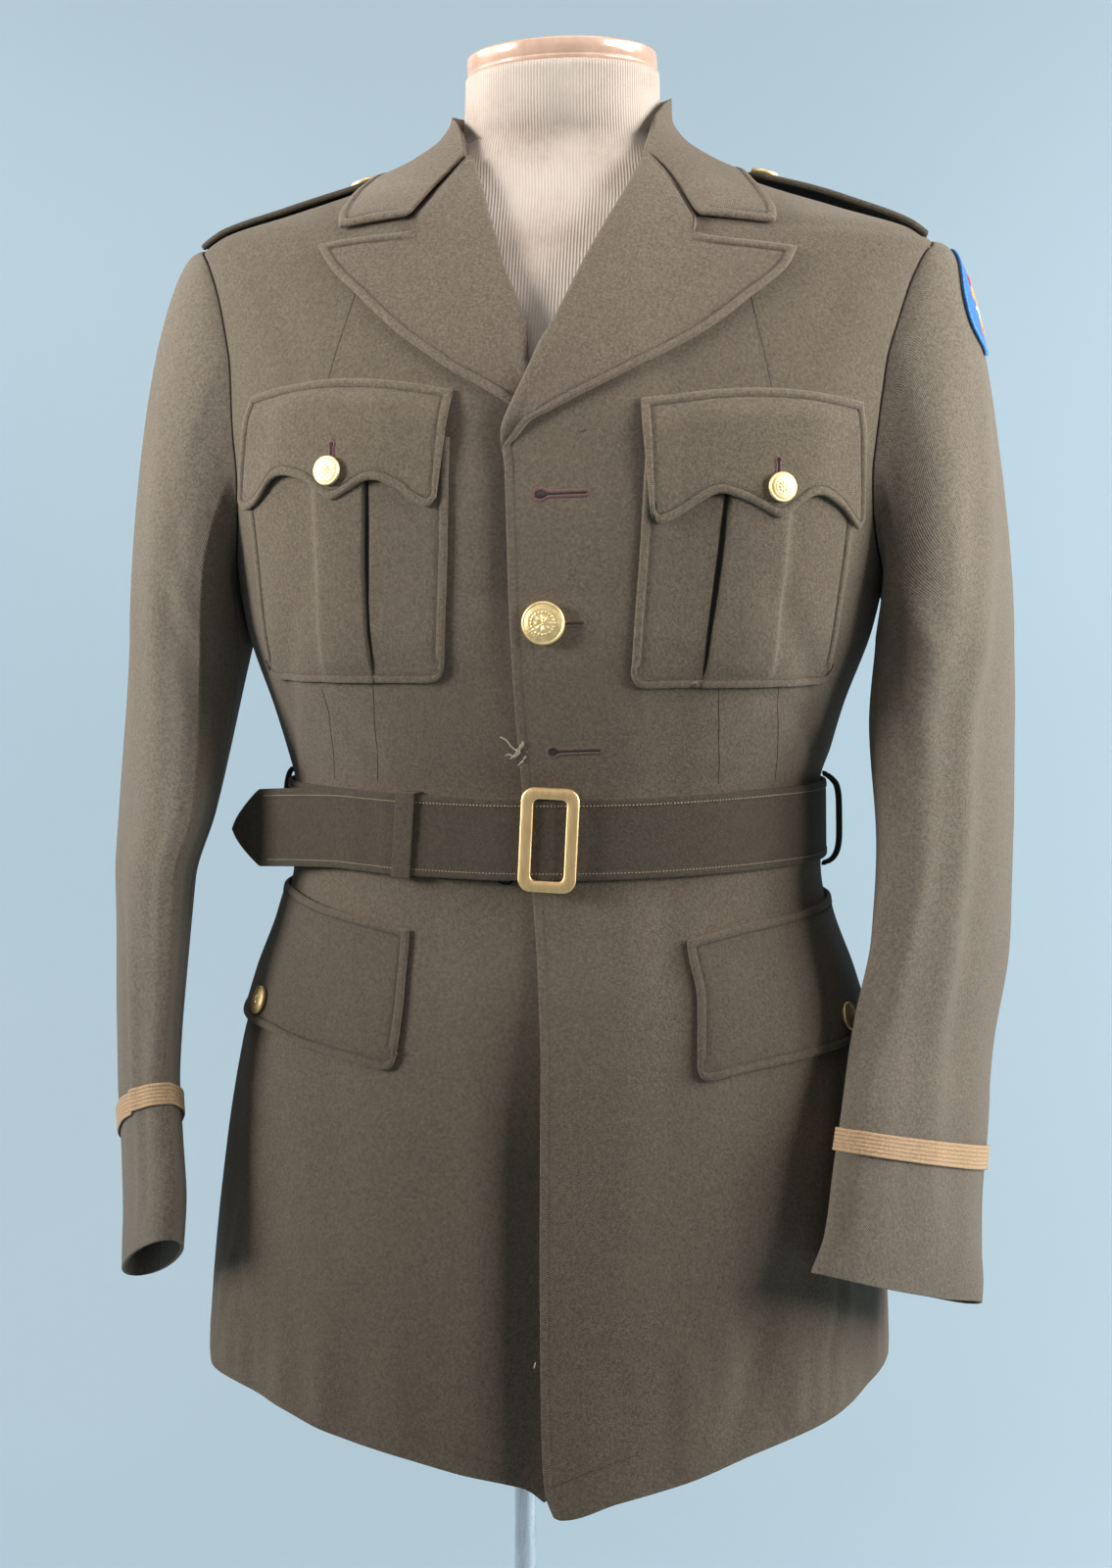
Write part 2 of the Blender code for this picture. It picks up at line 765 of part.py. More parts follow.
def sleeve_point(side, angle, down, out=0.0):
    point = sleeve_base(side, angle, down)
    if out == 0:
        return point
    around = sleeve_base(side, angle + 1, down) - sleeve_base(side, angle - 1, down)
    lower, upper = max(down - 0.01, 0), min(down + 0.01, 2)
    downwards = sleeve_base(side, angle, upper) - sleeve_base(side, angle, lower)
    return point + side * unit(np.cross(around, downwards)) * out


SLEEVE_ROWS = (0, 0.08, 0.18, 0.32, 0.5, 0.72, 0.88, 1, 1.12, 1.26, 1.4, 1.54, 1.65)
SEAM_TURN = 0.5


def braid_rows(side):
    """The sleeve's rows at the braid's upper and lower edges."""
    length = SLEEVE_TOP - CUFF[side]
    low = 2 - BRAID_RISE[side] / length
    return low - BRAID_WIDTH / length, low


def sleeve_angles(start, end, columns):
    return spaced(start + SEAM_TURN, end - SEAM_TURN, columns)


def sleeve_angle_sets():
    front_seam, back_seam = SLEEVE_SEAMS
    return {
        "top": sleeve_angles(back_seam - 360, front_seam, 15),
        "under": sleeve_angles(front_seam, back_seam, 8),
    }


def off_sleeve(side):
    def way(point):
        centre = SLEEVE_TRACKS[side](point[2])
        level = 60 * smooth(1380, 1470, point[2])
        return np.array([point[0] - centre[0] + side * level, point[1] - centre[1], level])
    return way


def sleeve(side):
    downs = (*SLEEVE_ROWS, *braid_rows(side), 1.9, 2)
    for kind, angles in sleeve_angle_sets().items():
        rows = [[sleeve_point(side, angle, down) for angle in angles] for down in reversed(downs)]
        cloth(f"sleeve_{kind}_{SIDE_NAMES[side]}", rows, COAT_WALL, "coat_wool", outward=off_sleeve(side))


def cuff_braid(side):
    angles = [angle for part in sleeve_angle_sets().values() for angle in part]
    rows = [[sleeve_point(side, angle, down, LAY_GAP + BRAID_WALL) for angle in angles]
            for down in braid_rows(side)[::-1]]
    cloth(f"cuff_braid_{SIDE_NAMES[side]}", rows, BRAID_WALL, "braid",
          outward=off_sleeve(side), closed=True)


def reach_to(points, values, distance):
    """The value where a polyline has this length."""
    steps = np.linalg.norm(np.diff(np.array(points), axis=0), axis=1)
    lengths = np.concatenate([[0], np.cumsum(steps)])
    return float(np.interp(distance, lengths, values))


def on_sleeve_head(side, ahead, below, out):
    """A place on the sleeve's outside, by distances ahead of its middle line and down from the tip."""
    downs = spaced(0, 1.2, 25)
    down = reach_to([sleeve_base(side, 0, value) for value in downs], downs, below)
    angles = spaced(0, math.copysign(60, ahead), 21)
    angle = reach_to([sleeve_base(side, value, down) for value in angles], angles, abs(ahead))
    return sleeve_point(side, angle, down, out)


def shoulder_patch(side):
    rings = []
    for share in (0.35, 0.7, 1.0):
        ring = []
        for i in range(16):
            angle = 2 * math.pi * i / 16
            reach = PATCH_RADIUS * share
            ring.append(on_sleeve_head(side, reach * math.cos(angle), PATCH_DROP + reach * math.sin(angle),
                                       LAY_GAP + PATCH_WALL))
        rings.append(ring)
    cloth(f"shoulder_patch_{SIDE_NAMES[side]}", rings, PATCH_WALL, "patch_felt",
          outward=off_sleeve(side), closed=True, filled=True)


# ---------------------------------------------------------------- collar and lapels

def lapel(side):
    """The turned-back lapel: its inner edge curls over the roll line, its outer edge lies flat."""
    rows = []
    count = 12
    shares = (0.0, 0.15, 0.3, 0.45, 0.6, 0.8, 1.0)
    top = [path_point(LAPEL_TOP[side], share) for share in shares]
    for i in range(count):
        t = i / (count - 1)
        roll = path_point(LAPEL_ROLL[side], t)
        edge = path_point(LAPEL_EDGE[side], t)
        row = [(roll[0] - side * 2.4, roll[1], 1.7), (roll[0] - side * 1.2, roll[1], 4.2)]
        for share, corner in zip(shares, top):
            straight = mix(roll, edge, share)
            bend = (corner - mix(top[0], top[-1], share)) * t ** 3
            place = straight + bend
            out = mix(5.0, LAY_GAP + LAPEL_WALL + 0.25, smooth(0, 0.35, share))
            row.append((place[0] + side * 1.5 * (1 - share), place[1], out))
        rows.append([laid_on_front(side, *point) for point in row])
    cloth(f"lapel_{SIDE_NAMES[side]}", rows, LAPEL_WALL, "coat_wool")


def laid_on_front(side, along, height, out):
    turn = turn_at(along, height)
    return body_point(turn, height, out + front_lift(side, turn, height))


def collar_half(side, places, falls):
    """The collar's rows on one side, with the other side's sign left off x."""
    track = Track(COLLAR_STATIONS)
    first = track(0)
    rows = []
    for place in places:
        crest_x, crest_y, crest_z, edge_x, edge_y, edge_z, stand = track(place)
        crest_z += side * COLLAR_SIDE_RISE * smooth(0.1, 0.36, place) * smooth(1.0, 0.7, place)
        edge_x += COLLAR_TIP_SHIFT[side] * smooth(0.4, 0, place)
        crest = np.array([crest_x, crest_y, crest_z])
        edge = np.array([edge_x, edge_y, edge_z])
        on_coat = onto_body(crest)
        rise = max(np.linalg.norm(crest - on_coat), COLLAR_CREST)
        crest = onto_body(crest, rise)
        inward = -unit(np.array([crest_x, crest_y, 0]))
        curl = onto_body(crest + inward * 2.4, COLLAR_CREST - 3)
        upper_curl = onto_body(crest + inward * 1.2, COLLAR_CREST - 0.9)
        upright = crest + inward * 2.6
        tall = smooth(0, 12, stand)
        row = [
            mix(curl, upright - np.array([0, 0, stand]), tall),
            mix(upper_curl, upright - np.array([0, 0, 2]), tall),
            crest + np.array([0, 0, 0.6 * tall]),
        ]
        share = smooth(GORGE_REACH, 0, place)
        for fall in falls:
            lift = (rise - COLLAR_GAP - COLLAR_WALL) * (1 - fall) ** 2.4
            bend = np.zeros(3)
            if share > 0:
                x, height = path_point(GORGE[side], fall)
                tip = first[3:6] + np.array([COLLAR_TIP_SHIFT[side], 0, 0])
                bend = base_point(turn_of_x(x, height), height) - onto_body(mix(first[0:3], tip, fall))
            place_on = mix(crest, edge, fall) + bend * share
            row.append(onto_body(place_on, COLLAR_GAP + COLLAR_WALL + max(lift, 0)))
        rows.append(row)
    return rows


def collar():
    """One band from gorge to gorge: a stand inside, a fold, and a fall that lies on the coat."""
    places = (0, 0.05, 0.11, 0.19, 0.29, 0.4, 0.52, 0.64, 0.76, 0.88, 1)
    falls = (0.1, 0.25, 0.4, 0.52, 0.68, 0.85, 1.0)
    left = collar_half(LEFT, places, falls)
    right = [[point * np.array([-1, 1, 1]) for point in row] for row in collar_half(RIGHT, places, falls)]
    cloth("collar", left + right[-2::-1], COLLAR_WALL, "coat_wool")


# ---------------------------------------------------------------- pockets and flaps

def upper_pocket(side):
    columns = (0, 2.5, 14, 28, 42, 44, 57, 70, 83, 87, 102, 116, 127.5, 130)
    heights = (0, 4, 9, 28, 48, 72, 98, POCKET_TOP - POCKET_BOTTOM[side])
    corner = 9
    rows = []
    for height in heights:
        share = height / heights[-1]
        outer = mix(POCKET_OUTER_BOTTOM, POCKET_OUTER_TOP, share)
        row = []
        for column in columns:
            across = column / columns[-1]
            along = mix(mix(POCKET_INNER_BOTTOM, POCKET_INNER_TOP[side], share), outer, across)
            end = min(column, columns[-1] - column)
            rounding = corner - math.sqrt(max(corner ** 2 - max(corner - end, 0) ** 2, 0))
            rise = max(POCKET_BOTTOM[side] + height, POCKET_BOTTOM[side] + rounding + height * 0.3)
            pleat = PLEAT_RISE * (smooth(42, 44, column) - smooth(82, 88, column))
            row.append(laid_on_front(side, side * along, rise, POCKET_GAP + POCKET_WALL + pleat))
        rows.append(row)
    cloth(f"pocket_{SIDE_NAMES[side]}", rows, POCKET_WALL, "coat_wool")


def upper_flap(side):
    inner_top, inner_low, outer_top, outer_low, inner_height, outer_height, crown = UPPER_FLAP[side]
    edge = Track(SCALLOP[side])
    columns = [row[0] for row in SCALLOP[side]]
    pocket_face = POCKET_GAP + POCKET_WALL
    rows = []
    for share in (1.0, 0.62, 0.3, 0.0):
        row = []
        for across in columns:
            along = mix(mix(inner_top, outer_top, across), mix(inner_low, outer_low, across), share)
            top = mix(inner_height, outer_height, across) + crown * math.sin(math.pi * across)
            height = top - float(edge(across)[0]) * share
            hump = PLEAT_RISE * math.exp(-((across - 0.5) / 0.31) ** 6)
            full = pocket_face + LAY_GAP + FLAP_WALL + hump + 0.4
            out = mix(LAY_GAP + FLAP_WALL, full, smooth(0.0, 0.28, share))
            row.append(laid_on_front(side, side * along, height, out))
        rows.append(row)
    cloth(f"flap_upper_{SIDE_NAMES[side]}", rows, FLAP_WALL, "coat_wool")


def lower_flap(side):
    start, end = LOWER_FLAP_ENDS[side]
    top = Track(LOWER_FLAP_TOP[side])
    insets = (0, 1, 3, 6, FLAP_CORNER)
    width = end - start
    places = [*insets[:-1], *spaced(FLAP_CORNER, width - FLAP_CORNER, 12),
              *[width - inset for inset in insets[-2::-1]]]
    rows = []
    for share in (1.0, 0.94, 0.6, 0.25, 0.0):
        row = []
        for place in places:
            across = place / width
            along = start + place + 6 * smooth(0, 0.45, share) * (1 - across) ** 2
            from_end = min(place, width - place) if share > 0.5 else FLAP_CORNER
            inset = max(FLAP_CORNER - from_end, 0)
            rounding = FLAP_CORNER - math.sqrt(max(FLAP_CORNER ** 2 - inset ** 2, 0))
            rise = max(LOWER_FLAP_DROP * (1 - share), rounding + 0.3 * LOWER_FLAP_DROP * (1 - share))
            height = float(top(along)[0]) - LOWER_FLAP_DROP + rise
            out = LAY_GAP + FLAP_WALL + 0.5 + 0.4 * share + 0.4 * smooth(0.85, 0.97, across)
            row.append(laid_on_front(side, side * along, height, out))
        rows.append(row)
    cloth(f"flap_lower_{SIDE_NAMES[side]}", rows, FLAP_WALL, "coat_wool")


# ---------------------------------------------------------------- buttons

def button(name, point, normal, radius):
    height = radius * BUTTON_HEIGHT
    profile = ((0, height), (radius * 0.5, height * 0.94), (radius * 0.86, height * 0.72),
               (radius, height * 0.4), (radius * 0.9, 0), (0, 0))
    turned(name, profile, 12, "brass", facing(point, normal))


def front_buttons():
    along, height = FRONT_BUTTON
    turn = turn_at(along, height)
    button("button_front", body_point(turn, height, FRONT_LAP + 0.4), body_normal(turn, height),
           FRONT_BUTTON_RADIUS)
    over_flap = POCKET_GAP + POCKET_WALL + LAY_GAP + FLAP_WALL + PLEAT_RISE + 1.1
    for side in (LEFT, RIGHT):
        name = SIDE_NAMES[side]
        for kind, places, out in (("upper", UPPER_BUTTONS, over_flap),
                                  ("lower", LOWER_BUTTONS, LAY_GAP + FLAP_WALL + 1.1)):
            along, height = places[side]
            turn = turn_at(side * along, height)
            button(f"button_{kind}_{name}", body_point(turn, height, out), body_normal(turn, height),
                   SMALL_BUTTON_RADIUS)


# ---------------------------------------------------------------- shoulder loops

def loop_out(side, x):
    """The loop lies on the shoulder at its ends and stands off between them."""
    share = (x - LOOP_INNER) / (LOOP_OUTER - LOOP_INNER)
    return LAY_GAP + LOOP_WALL + LOOP_LIFT[side] * math.sin(math.pi * min(max(share, 0), 1) ** 0.8)


def loop_point(side, x, y, extra=0.0):
    start = np.array([side * x, y, 1500 - 0.35 * (x - 140)])
    return onto_body(start, loop_out(side, x) + extra)


def shoulder_loop(side):
    rows = []
    steps = 10
    for i in range(steps):
        share = i / (steps - 1)
        half = mix(LOOP_HALF_OUTER, LOOP_HALF_INNER, share)
        row = []
        for across in (-1, -0.6, 0, 0.6, 1):
            x = mix(LOOP_OUTER, LOOP_INNER + 12 * abs(across) ** 2, share)
            row.append(loop_point(side, x, half * across + 1))
        rows.append(row)
    cloth(f"shoulder_loop_{SIDE_NAMES[side]}", rows, LOOP_WALL, "coat_wool")
    inwards = loop_point(side, LOOP_BUTTON_X - 5, 0) - loop_point(side, LOOP_BUTTON_X + 5, 0)
    backwards = loop_point(side, LOOP_BUTTON_X, 5) - loop_point(side, LOOP_BUTTON_X, -5)
    normal = unit(np.cross(backwards, inwards)) * side
    seat = loop_point(side, LOOP_BUTTON_X, 0) + normal * 0.6
    button(f"button_shoulder_{SIDE_NAMES[side]}", seat, normal, SMALL_BUTTON_RADIUS)


# ---------------------------------------------------------------- belt

BELT_OUT = Track(BELT_LIFTS)


def belt_level(turn):
    """The height of the belt's middle, which is a little higher at the sides than in front."""
    off_front = abs((turn + 180) % 360 - 180)
    return BELT_HEIGHT + BELT_RISE * smooth(4, 60, off_front)


def belt_plan(turn, height):
    """A point of the belt's outer face, level with its edge."""
    point = body_point(turn, height)
    normal = body_normal(turn, BELT_HEIGHT)
    normal = unit(normal * np.array([1, 1, 0]))
    return point + normal * float(BELT_OUT(turn)[0])


def belt():
    """A spiral of one turn and a bit, whose pointed tongue runs off the body in a gentle curve."""
    last = BELT_LIFTS[-1][0]
    turns = spaced(1, -33, 12)[:-1] + spaced(-33, -320, 38)[:-1] + spaced(-320, last, 26)
    rows = [[], []]
    for turn in turns:
        level = belt_level(turn)
        for row, shift in zip(rows, (BELT_HALF, -BELT_HALF)):
            row.append(belt_plan(turn, level + shift))
    level = belt_level(last)
    start = belt_plan(last, level)
    heading = unit((start - belt_plan(last + 3, level)) * np.array([1, 1, 0]))
    bend = np.array([-heading[1], heading[0], 0]) * -1
    for share in (0.15, 0.35, 0.55, 0.74, 0.82, 0.9, 0.96, 1.0):
        run = TONGUE_LENGTH * share
        centre = start + heading * run + bend * run ** 2 / (2 * TONGUE_BEND)
        centre[2] -= TONGUE_DROP * share ** 1.5
        left_over = max(TONGUE_LENGTH - run, 0.3)
        half = BELT_HALF * min(1, (left_over / TONGUE_POINT) ** 0.68)
        for row, sign in zip(rows, (1, -1)):
            row.append(centre + np.array([0, 0, sign * half]))
    cloth("belt", rows, BELT_WALL, "belt_wool")


def keeper():
    """A band round both layers of the belt."""
    inner_out = float(BELT_OUT(KEEPER_TURN)[0]) - BELT_WALL - 0.5 - KEEPER_WALL
    outer_out = float(BELT_OUT(KEEPER_TURN - 360)[0]) + 0.5 + KEEPER_WALL
    half = BELT_HALF + 0.6 + KEEPER_WALL
    half_turn = math.degrees(KEEPER_WIDTH / 2 / 150)
    corners = ((-1, inner_out), (-1, outer_out - 0.8), (-0.97, outer_out), (0, outer_out + 0.2),
               (0.97, outer_out), (1, outer_out - 0.8), (1, inner_out))
    rows = []
    for turn in (KEEPER_TURN - half_turn, KEEPER_TURN, KEEPER_TURN + half_turn):
        level = belt_level(turn)
        normal = unit(body_normal(turn, BELT_HEIGHT) * np.array([1, 1, 0]))
        row = []
        for side_share, out in corners:
            height = level + half * side_share
            row.append(body_point(turn, height) + normal * out)
        rows.append(row)
    middle = (rows[1][0] + rows[1][3]) / 2
    cloth("belt_keeper", rows, KEEPER_WALL, "belt_wool", closed=True, outward=lambda point: point - middle)


def rounded_frame(width, height, corner, steps=4):
    points = []
    for centre_x, centre_y, start in ((1, 1, 0), (-1, 1, 90), (-1, -1, 180), (1, -1, 270)):
        for i in range(steps + 1):
            angle = math.radians(start + 90 * i / steps)
            points.append((centre_x * (width / 2 - corner) + corner * math.cos(angle),
                           centre_y * (height / 2 - corner) + corner * math.sin(angle)))
    return points


def buckle_matrix():
    turn = turn_of_x(BUCKLE_X, BELT_HEIGHT)
    point = body_point(turn, BELT_HEIGHT)
    point[1] -= float(BELT_OUT(turn - 360)[0]) + 0.5
    lean = Matrix.Rotation(math.radians(BUCKLE_LEAN), 4, "Y")
    return Matrix.Translation(placed(point)) @ lean


def buckle():
    """A rounded frame before the belt and a bar behind the layer that passes through it."""
    width, height = BUCKLE_SIZE
    side_bar, end_bar = BUCKLE_BARS
    outer = rounded_frame(width, height, BUCKLE_CORNER)
    inner = rounded_frame(width - 2 * side_bar, height - 2 * end_bar, BUCKLE_CORNER - 4)
    soft = 0.5
    outer_face = rounded_frame(width - 2 * soft, height - 2 * soft, BUCKLE_CORNER - soft)
    inner_face = rounded_frame(width - 2 * side_bar + 2 * soft, height - 2 * end_bar + 2 * soft,
                               BUCKLE_CORNER - 4 + soft)
    loops = ((inner, 0), (outer, 0), (outer, BUCKLE_THICKNESS - soft), (outer_face, BUCKLE_THICKNESS),
             (inner_face, BUCKLE_THICKNESS), (inner, BUCKLE_THICKNESS - soft))

    def build(form):
        grid = [[form.verts.new((x * MM, -depth * MM, z * MM)) for x, z in loop] for loop, depth in loops]
        for near, far in zip(grid, grid[1:] + grid[:1]):
            for i in range(len(near)):
                j = (i + 1) % len(near)
                form.faces.new([near[i], near[j], far[j], far[i]])

    thing = add_object("buckle", mesh_from("buckle", build), "brass")
    thing.matrix_world = buckle_matrix()
    reach = BELT_WALL + 0.5 + 0.4 + 1.15
    end = height / 2 - end_bar / 2
    route = ((0, -0.3, end), (0, -reach * 0.6, end), (0, -reach, end - 1.2),
             (0, -reach, -end + 1.2), (0, -reach * 0.6, -end), (0, -0.3, -end))
    curve = bpy.data.curves.new("buckle_bar", "CURVE")
    curve.dimensions = "3D"
    curve.bevel_depth = 1.1 * MM
    curve.bevel_resolution = 2
    curve.use_fill_caps = True
    spline = curve.splines.new("POLY")
    spline.points.add(len(route) - 1)
    for place, (x, y, z) in zip(spline.points, route):
        place.co = (x * MM, -y * MM, z * MM, 1)
    bar = bpy.data.objects.new("buckle_bar", curve)
    curve.materials.append(material("brass"))
    COAT_PARTS.objects.link(bar)
    bar.matrix_world = buckle_matrix()


def side_loop(side):
    """A belt loop at the side seam: an arch that stands off the coat round the belt."""
    turn = SIDE_LOOP_TURN[side]
    stand = SIDE_LOOP_STAND[side]
    half_turn = math.degrees(SIDE_LOOP_WIDTH / 2 / 110)
    flat = LAY_GAP + SIDE_LOOP_WALL
    half = (1, 0.93, 0.89, 0.83, 0.76, 0.6, 0.3)
    rows = []
    for place in (turn - half_turn, turn + half_turn):
        row = []
        for share in (*half, 0, *[-value for value in reversed(half)]):
            height = SIDE_LOOP_LEVEL + SIDE_LOOP_HALF[side] * share
            arch = math.sqrt(max(1 - (share / 0.93) ** 4, 0))
            out = mix(flat, stand, arch)
            row.append(body_point(place, height, out))
        rows.append(row)
    cloth(f"belt_loop_{SIDE_NAMES[side]}", rows, SIDE_LOOP_WALL, "coat_wool")


# ---------------------------------------------------------------- dress form and stand

FORM_TURNS = [360 * i / 28 for i in range(28)]


def form_torso():
    clearance = Track(FORM_CLEARANCE)
    heights = (905, 907, 915, 940, 985, 1040, 1096, 1146, 1192, 1240, 1296, 1346, 1390, 1420, 1446, 1465,
               1476, 1484, 1493, 1502, 1511, 1521)
    rings = []
    for height in heights:
        inset = float(clearance(height)[0])
        rings.append([body_point(turn, height, -inset) for turn in FORM_TURNS])
    for ring, height in zip(rings[:3], heights):
        for point in ring:
            point[2] = height
    for height, half_width, front, back in FORM_NECK:
        lean = NECK_TILT * smooth(1535, 1560, height)
        ring = []
        for turn in FORM_TURNS:
            sine, cosine = math.sin(math.radians(turn)), math.cos(math.radians(turn))
            x = half_width * sine
            ring.append(np.array([x, -(front if cosine > 0 else back) * cosine, height + lean * x]))
        rings.append(ring)
    loft("form_torso", rings, "form_knit")


def neck_cap():
    soft = 1.6
    profile = ((0, CAP_HEIGHT), (CAP_RADIUS - soft, CAP_HEIGHT), (CAP_RADIUS, CAP_HEIGHT - soft),
               (CAP_RADIUS, soft), (CAP_RADIUS - soft, 0), (0, 0))
    seat = placed((0, 0, FORM_NECK[-1][0] + SEAM_GAP))
    tilt = Matrix.Rotation(-math.atan(NECK_TILT), 4, "Y")
    turned("neck_cap", profile, 32, "cap_plastic", Matrix.Translation(seat) @ tilt)


def stand():
    def upright(height):
        return Matrix.Translation((0, 0, height * MM))

    form_bottom = FORM_CLEARANCE[0][0]
    soft = 2.0
    foot = ((0, FOOT_HEIGHT), (FOOT_RADIUS - soft, FOOT_HEIGHT), (FOOT_RADIUS, FOOT_HEIGHT - soft),
            (FOOT_RADIUS, 0), (0, 0))
    turned("stand_foot", foot, 40, "stand_steel", upright(0))
    bore = POLE_RADIUS + SEAM_GAP
    socket = ((bore, SOCKET_HEIGHT), (SOCKET_RADIUS - soft, SOCKET_HEIGHT),
              (SOCKET_RADIUS, SOCKET_HEIGHT - soft), (SOCKET_RADIUS, 0), (bore, 0), (bore, SOCKET_HEIGHT))
    turned("stand_socket", socket, 16, "stand_steel", upright(FOOT_HEIGHT + SEAM_GAP))
    pole_foot = FOOT_HEIGHT + SEAM_GAP
    flange_foot = form_bottom - SEAM_GAP - FLANGE_HEIGHT
    pole_length = flange_foot - SEAM_GAP - pole_foot
    pole = ((0, pole_length), (POLE_RADIUS, pole_length), (POLE_RADIUS, 0), (0, 0))
    turned("stand_pole", pole, 16, "stand_steel", upright(pole_foot))
    flange = ((0, FLANGE_HEIGHT), (FLANGE_RADIUS, FLANGE_HEIGHT), (FLANGE_RADIUS, 0), (0, 0))
    turned("stand_flange", flange, 20, "stand_steel", upright(flange_foot))


def main():
    for thing in list(bpy.data.objects):
        bpy.data.objects.remove(thing)
    bpy.context.scene.collection.children.link(COAT_PARTS)
    shoulder_patch(LEFT)
    for side in (LEFT, RIGHT):
        front_panel(side)
        back_panel(side)
        sleeve(side)
        cuff_braid(side)
        lapel(side)
        upper_pocket(side)
        upper_flap(side)
        lower_flap(side)
        shoulder_loop(side)
        side_loop(side)
    collar()
    front_buttons()
    belt()
    keeper()
    buckle()
    form_torso()
    neck_cap()
    stand()


main()
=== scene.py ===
"""Looks of the belted dress tunic on its dress form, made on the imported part.

The surface functions repeat the part's own: `turn` is the angle round the body in
degrees, 0 at the centre front and 90 at the wearer's left; `along` is the distance
round the cloth from the centre front. On the sleeves `angle` goes round the arm and
`down` runs from 0 at the armhole past 1 at SLEEVE_TOP to 2 at the cuff. Sizes are
millimetres until placed().
"""
import json
import math

import bpy
import numpy as np
from mathutils import Matrix, Vector

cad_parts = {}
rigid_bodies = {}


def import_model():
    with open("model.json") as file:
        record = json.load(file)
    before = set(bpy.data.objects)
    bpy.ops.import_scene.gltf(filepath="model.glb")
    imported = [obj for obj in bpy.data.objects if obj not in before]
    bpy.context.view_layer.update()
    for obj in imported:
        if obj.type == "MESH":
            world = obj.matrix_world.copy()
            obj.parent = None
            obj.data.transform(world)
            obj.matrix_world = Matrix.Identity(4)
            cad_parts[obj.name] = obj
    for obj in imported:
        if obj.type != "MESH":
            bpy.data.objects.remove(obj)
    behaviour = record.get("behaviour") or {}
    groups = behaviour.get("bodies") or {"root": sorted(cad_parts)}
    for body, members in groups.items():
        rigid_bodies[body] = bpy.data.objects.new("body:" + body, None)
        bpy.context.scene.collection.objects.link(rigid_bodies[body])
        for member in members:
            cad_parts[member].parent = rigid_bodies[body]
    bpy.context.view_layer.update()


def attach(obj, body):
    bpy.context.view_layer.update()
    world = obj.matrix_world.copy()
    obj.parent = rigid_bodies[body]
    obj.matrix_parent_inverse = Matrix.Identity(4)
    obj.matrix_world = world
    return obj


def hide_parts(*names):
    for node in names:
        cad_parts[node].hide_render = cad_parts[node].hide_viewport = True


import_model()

MM = 0.001
LEFT = 1
RIGHT = -1
SIDE_NAMES = {LEFT: "left", RIGHT: "right"}

# Cloth walls and the gaps between pieces.
COAT_WALL = 2.0
LAPEL_WALL = 2.4
COLLAR_WALL = 2.2
COLLAR_CREST = 5.4
COLLAR_GAP = 1.5
POCKET_WALL = 1.6
FLAP_WALL = 1.8
BELT_WALL = 2.4
SEAM_GAP = 0.4
SIDE_GAP = 0.9
LAY_GAP = 0.6
FRONT_LAP = 3.0
POCKET_GAP = 0.9

BODY_X = 22.0

# The coat's outer surface, as level sections from the hem to the neck.
BODY_SECTIONS = (
    # height, centre_x, half_width, front, back, power
    (780, -8, 202, 175, 154, 2.1),
    (841, -8, 199, 166, 150, 2.1),
    (900, -7, 196, 159, 145, 2.1),
    (960, -5, 191, 151, 139, 2.15),
    (1020, -4, 182, 142, 131, 2.2),
    (1060, -4, 171, 134, 122, 2.2),
    (1096, -4, 158, 124, 110, 2.2),
    (1122, -3, 152.5, 119, 101.5, 2.2),
    (1170, -3, 151.5, 119, 100, 2.2),
    (1192, -2, 157, 125, 101, 2.25),
    (1213, -2, 163, 131, 104, 2.3),
    (1260, -1, 179, 139, 112, 2.4),
    (1310, 0, 188, 139, 119, 2.4),
    (1360, 0, 195, 133, 123, 2.4),
    (1400, 1, 200, 122, 122, 2.35),
    (1440, 2, 206, 105, 114, 2.3),
    (1470, 2, 209, 88, 102, 2.25),
    (1479, 2, 200, 82, 97, 2.2),
    (1492, 2, 160, 73, 88, 2.1),
    (1507, 1, 114, 62, 76, 2.0),
    (1520, 0, 84, 56, 66, 2.0),
    (1532, 0, 66, 52, 58, 2.0),
    (1545, 0, 58, 50, 54, 2.0),
    (1600, 0, 54, 48, 50, 2.0),
)
# Soft vertical folds of the skirt: ridges where the depth is above zero.
SKIRT_FOLDS = (
    # turn, half_width, depth
    (-64, 7, 3.2),
    (-47, 6, -2.4),
    (-30, 7, 1.6),
    (38, 7, -1.8),
    (53, 6, 1.2),
    (69, 7, -2.4),
    (112, 9, 3.4),
    (148, 10, -3.0),
    (-118, 10, 3.0),
    (-152, 9, -2.8),
)
FOLD_TOP = 1010
FOLD_FULL = 850
# The hem dips towards the front corners.
HEM = (
    # turn, height
    (-180, 843),
    (-90, 842),
    (-60, 841),
    (-44, 837),
    (-30, 830),
    (-15, 822),
    (0, 810),
    (6, 797),
    (14, 805),
    (23, 811),
    (36, 821),
    (52, 830),
    (66, 836),
    (85, 842),
    (180, 843),
)
# Front edges, and above the break the roll lines of the lapels.
LEFT_EDGE = (
    # height, x
    (796, 15),
    (802, 10),
    (811, 6),
    (835, 4),
    (932, 2),
    (1030, 1),
    (1083, -2),
    (1115, -5),
    (1182, -11),
    (1260, -15),
    (1342, -18),
    (1357, -20),
    (1367, -17),
    (1393, -6),
    (1432, 12),
    (1446, 19),
    (1481, 35),
    (1513, 50),
    (1524, 56),
    (1534, 60),
)
RIGHT_EDGE = (
    (796, 4),
    (812, 14),
    (835, 16),
    (1030, 20),
    (1357, 20),
    (1399, -8),
    (1417, -12),
    (1433, -18),
    (1457, -29),
    (1482, -37),
    (1500, -42),
    (1515, -48),
    (1524, -55),
    (1534, -60),
)
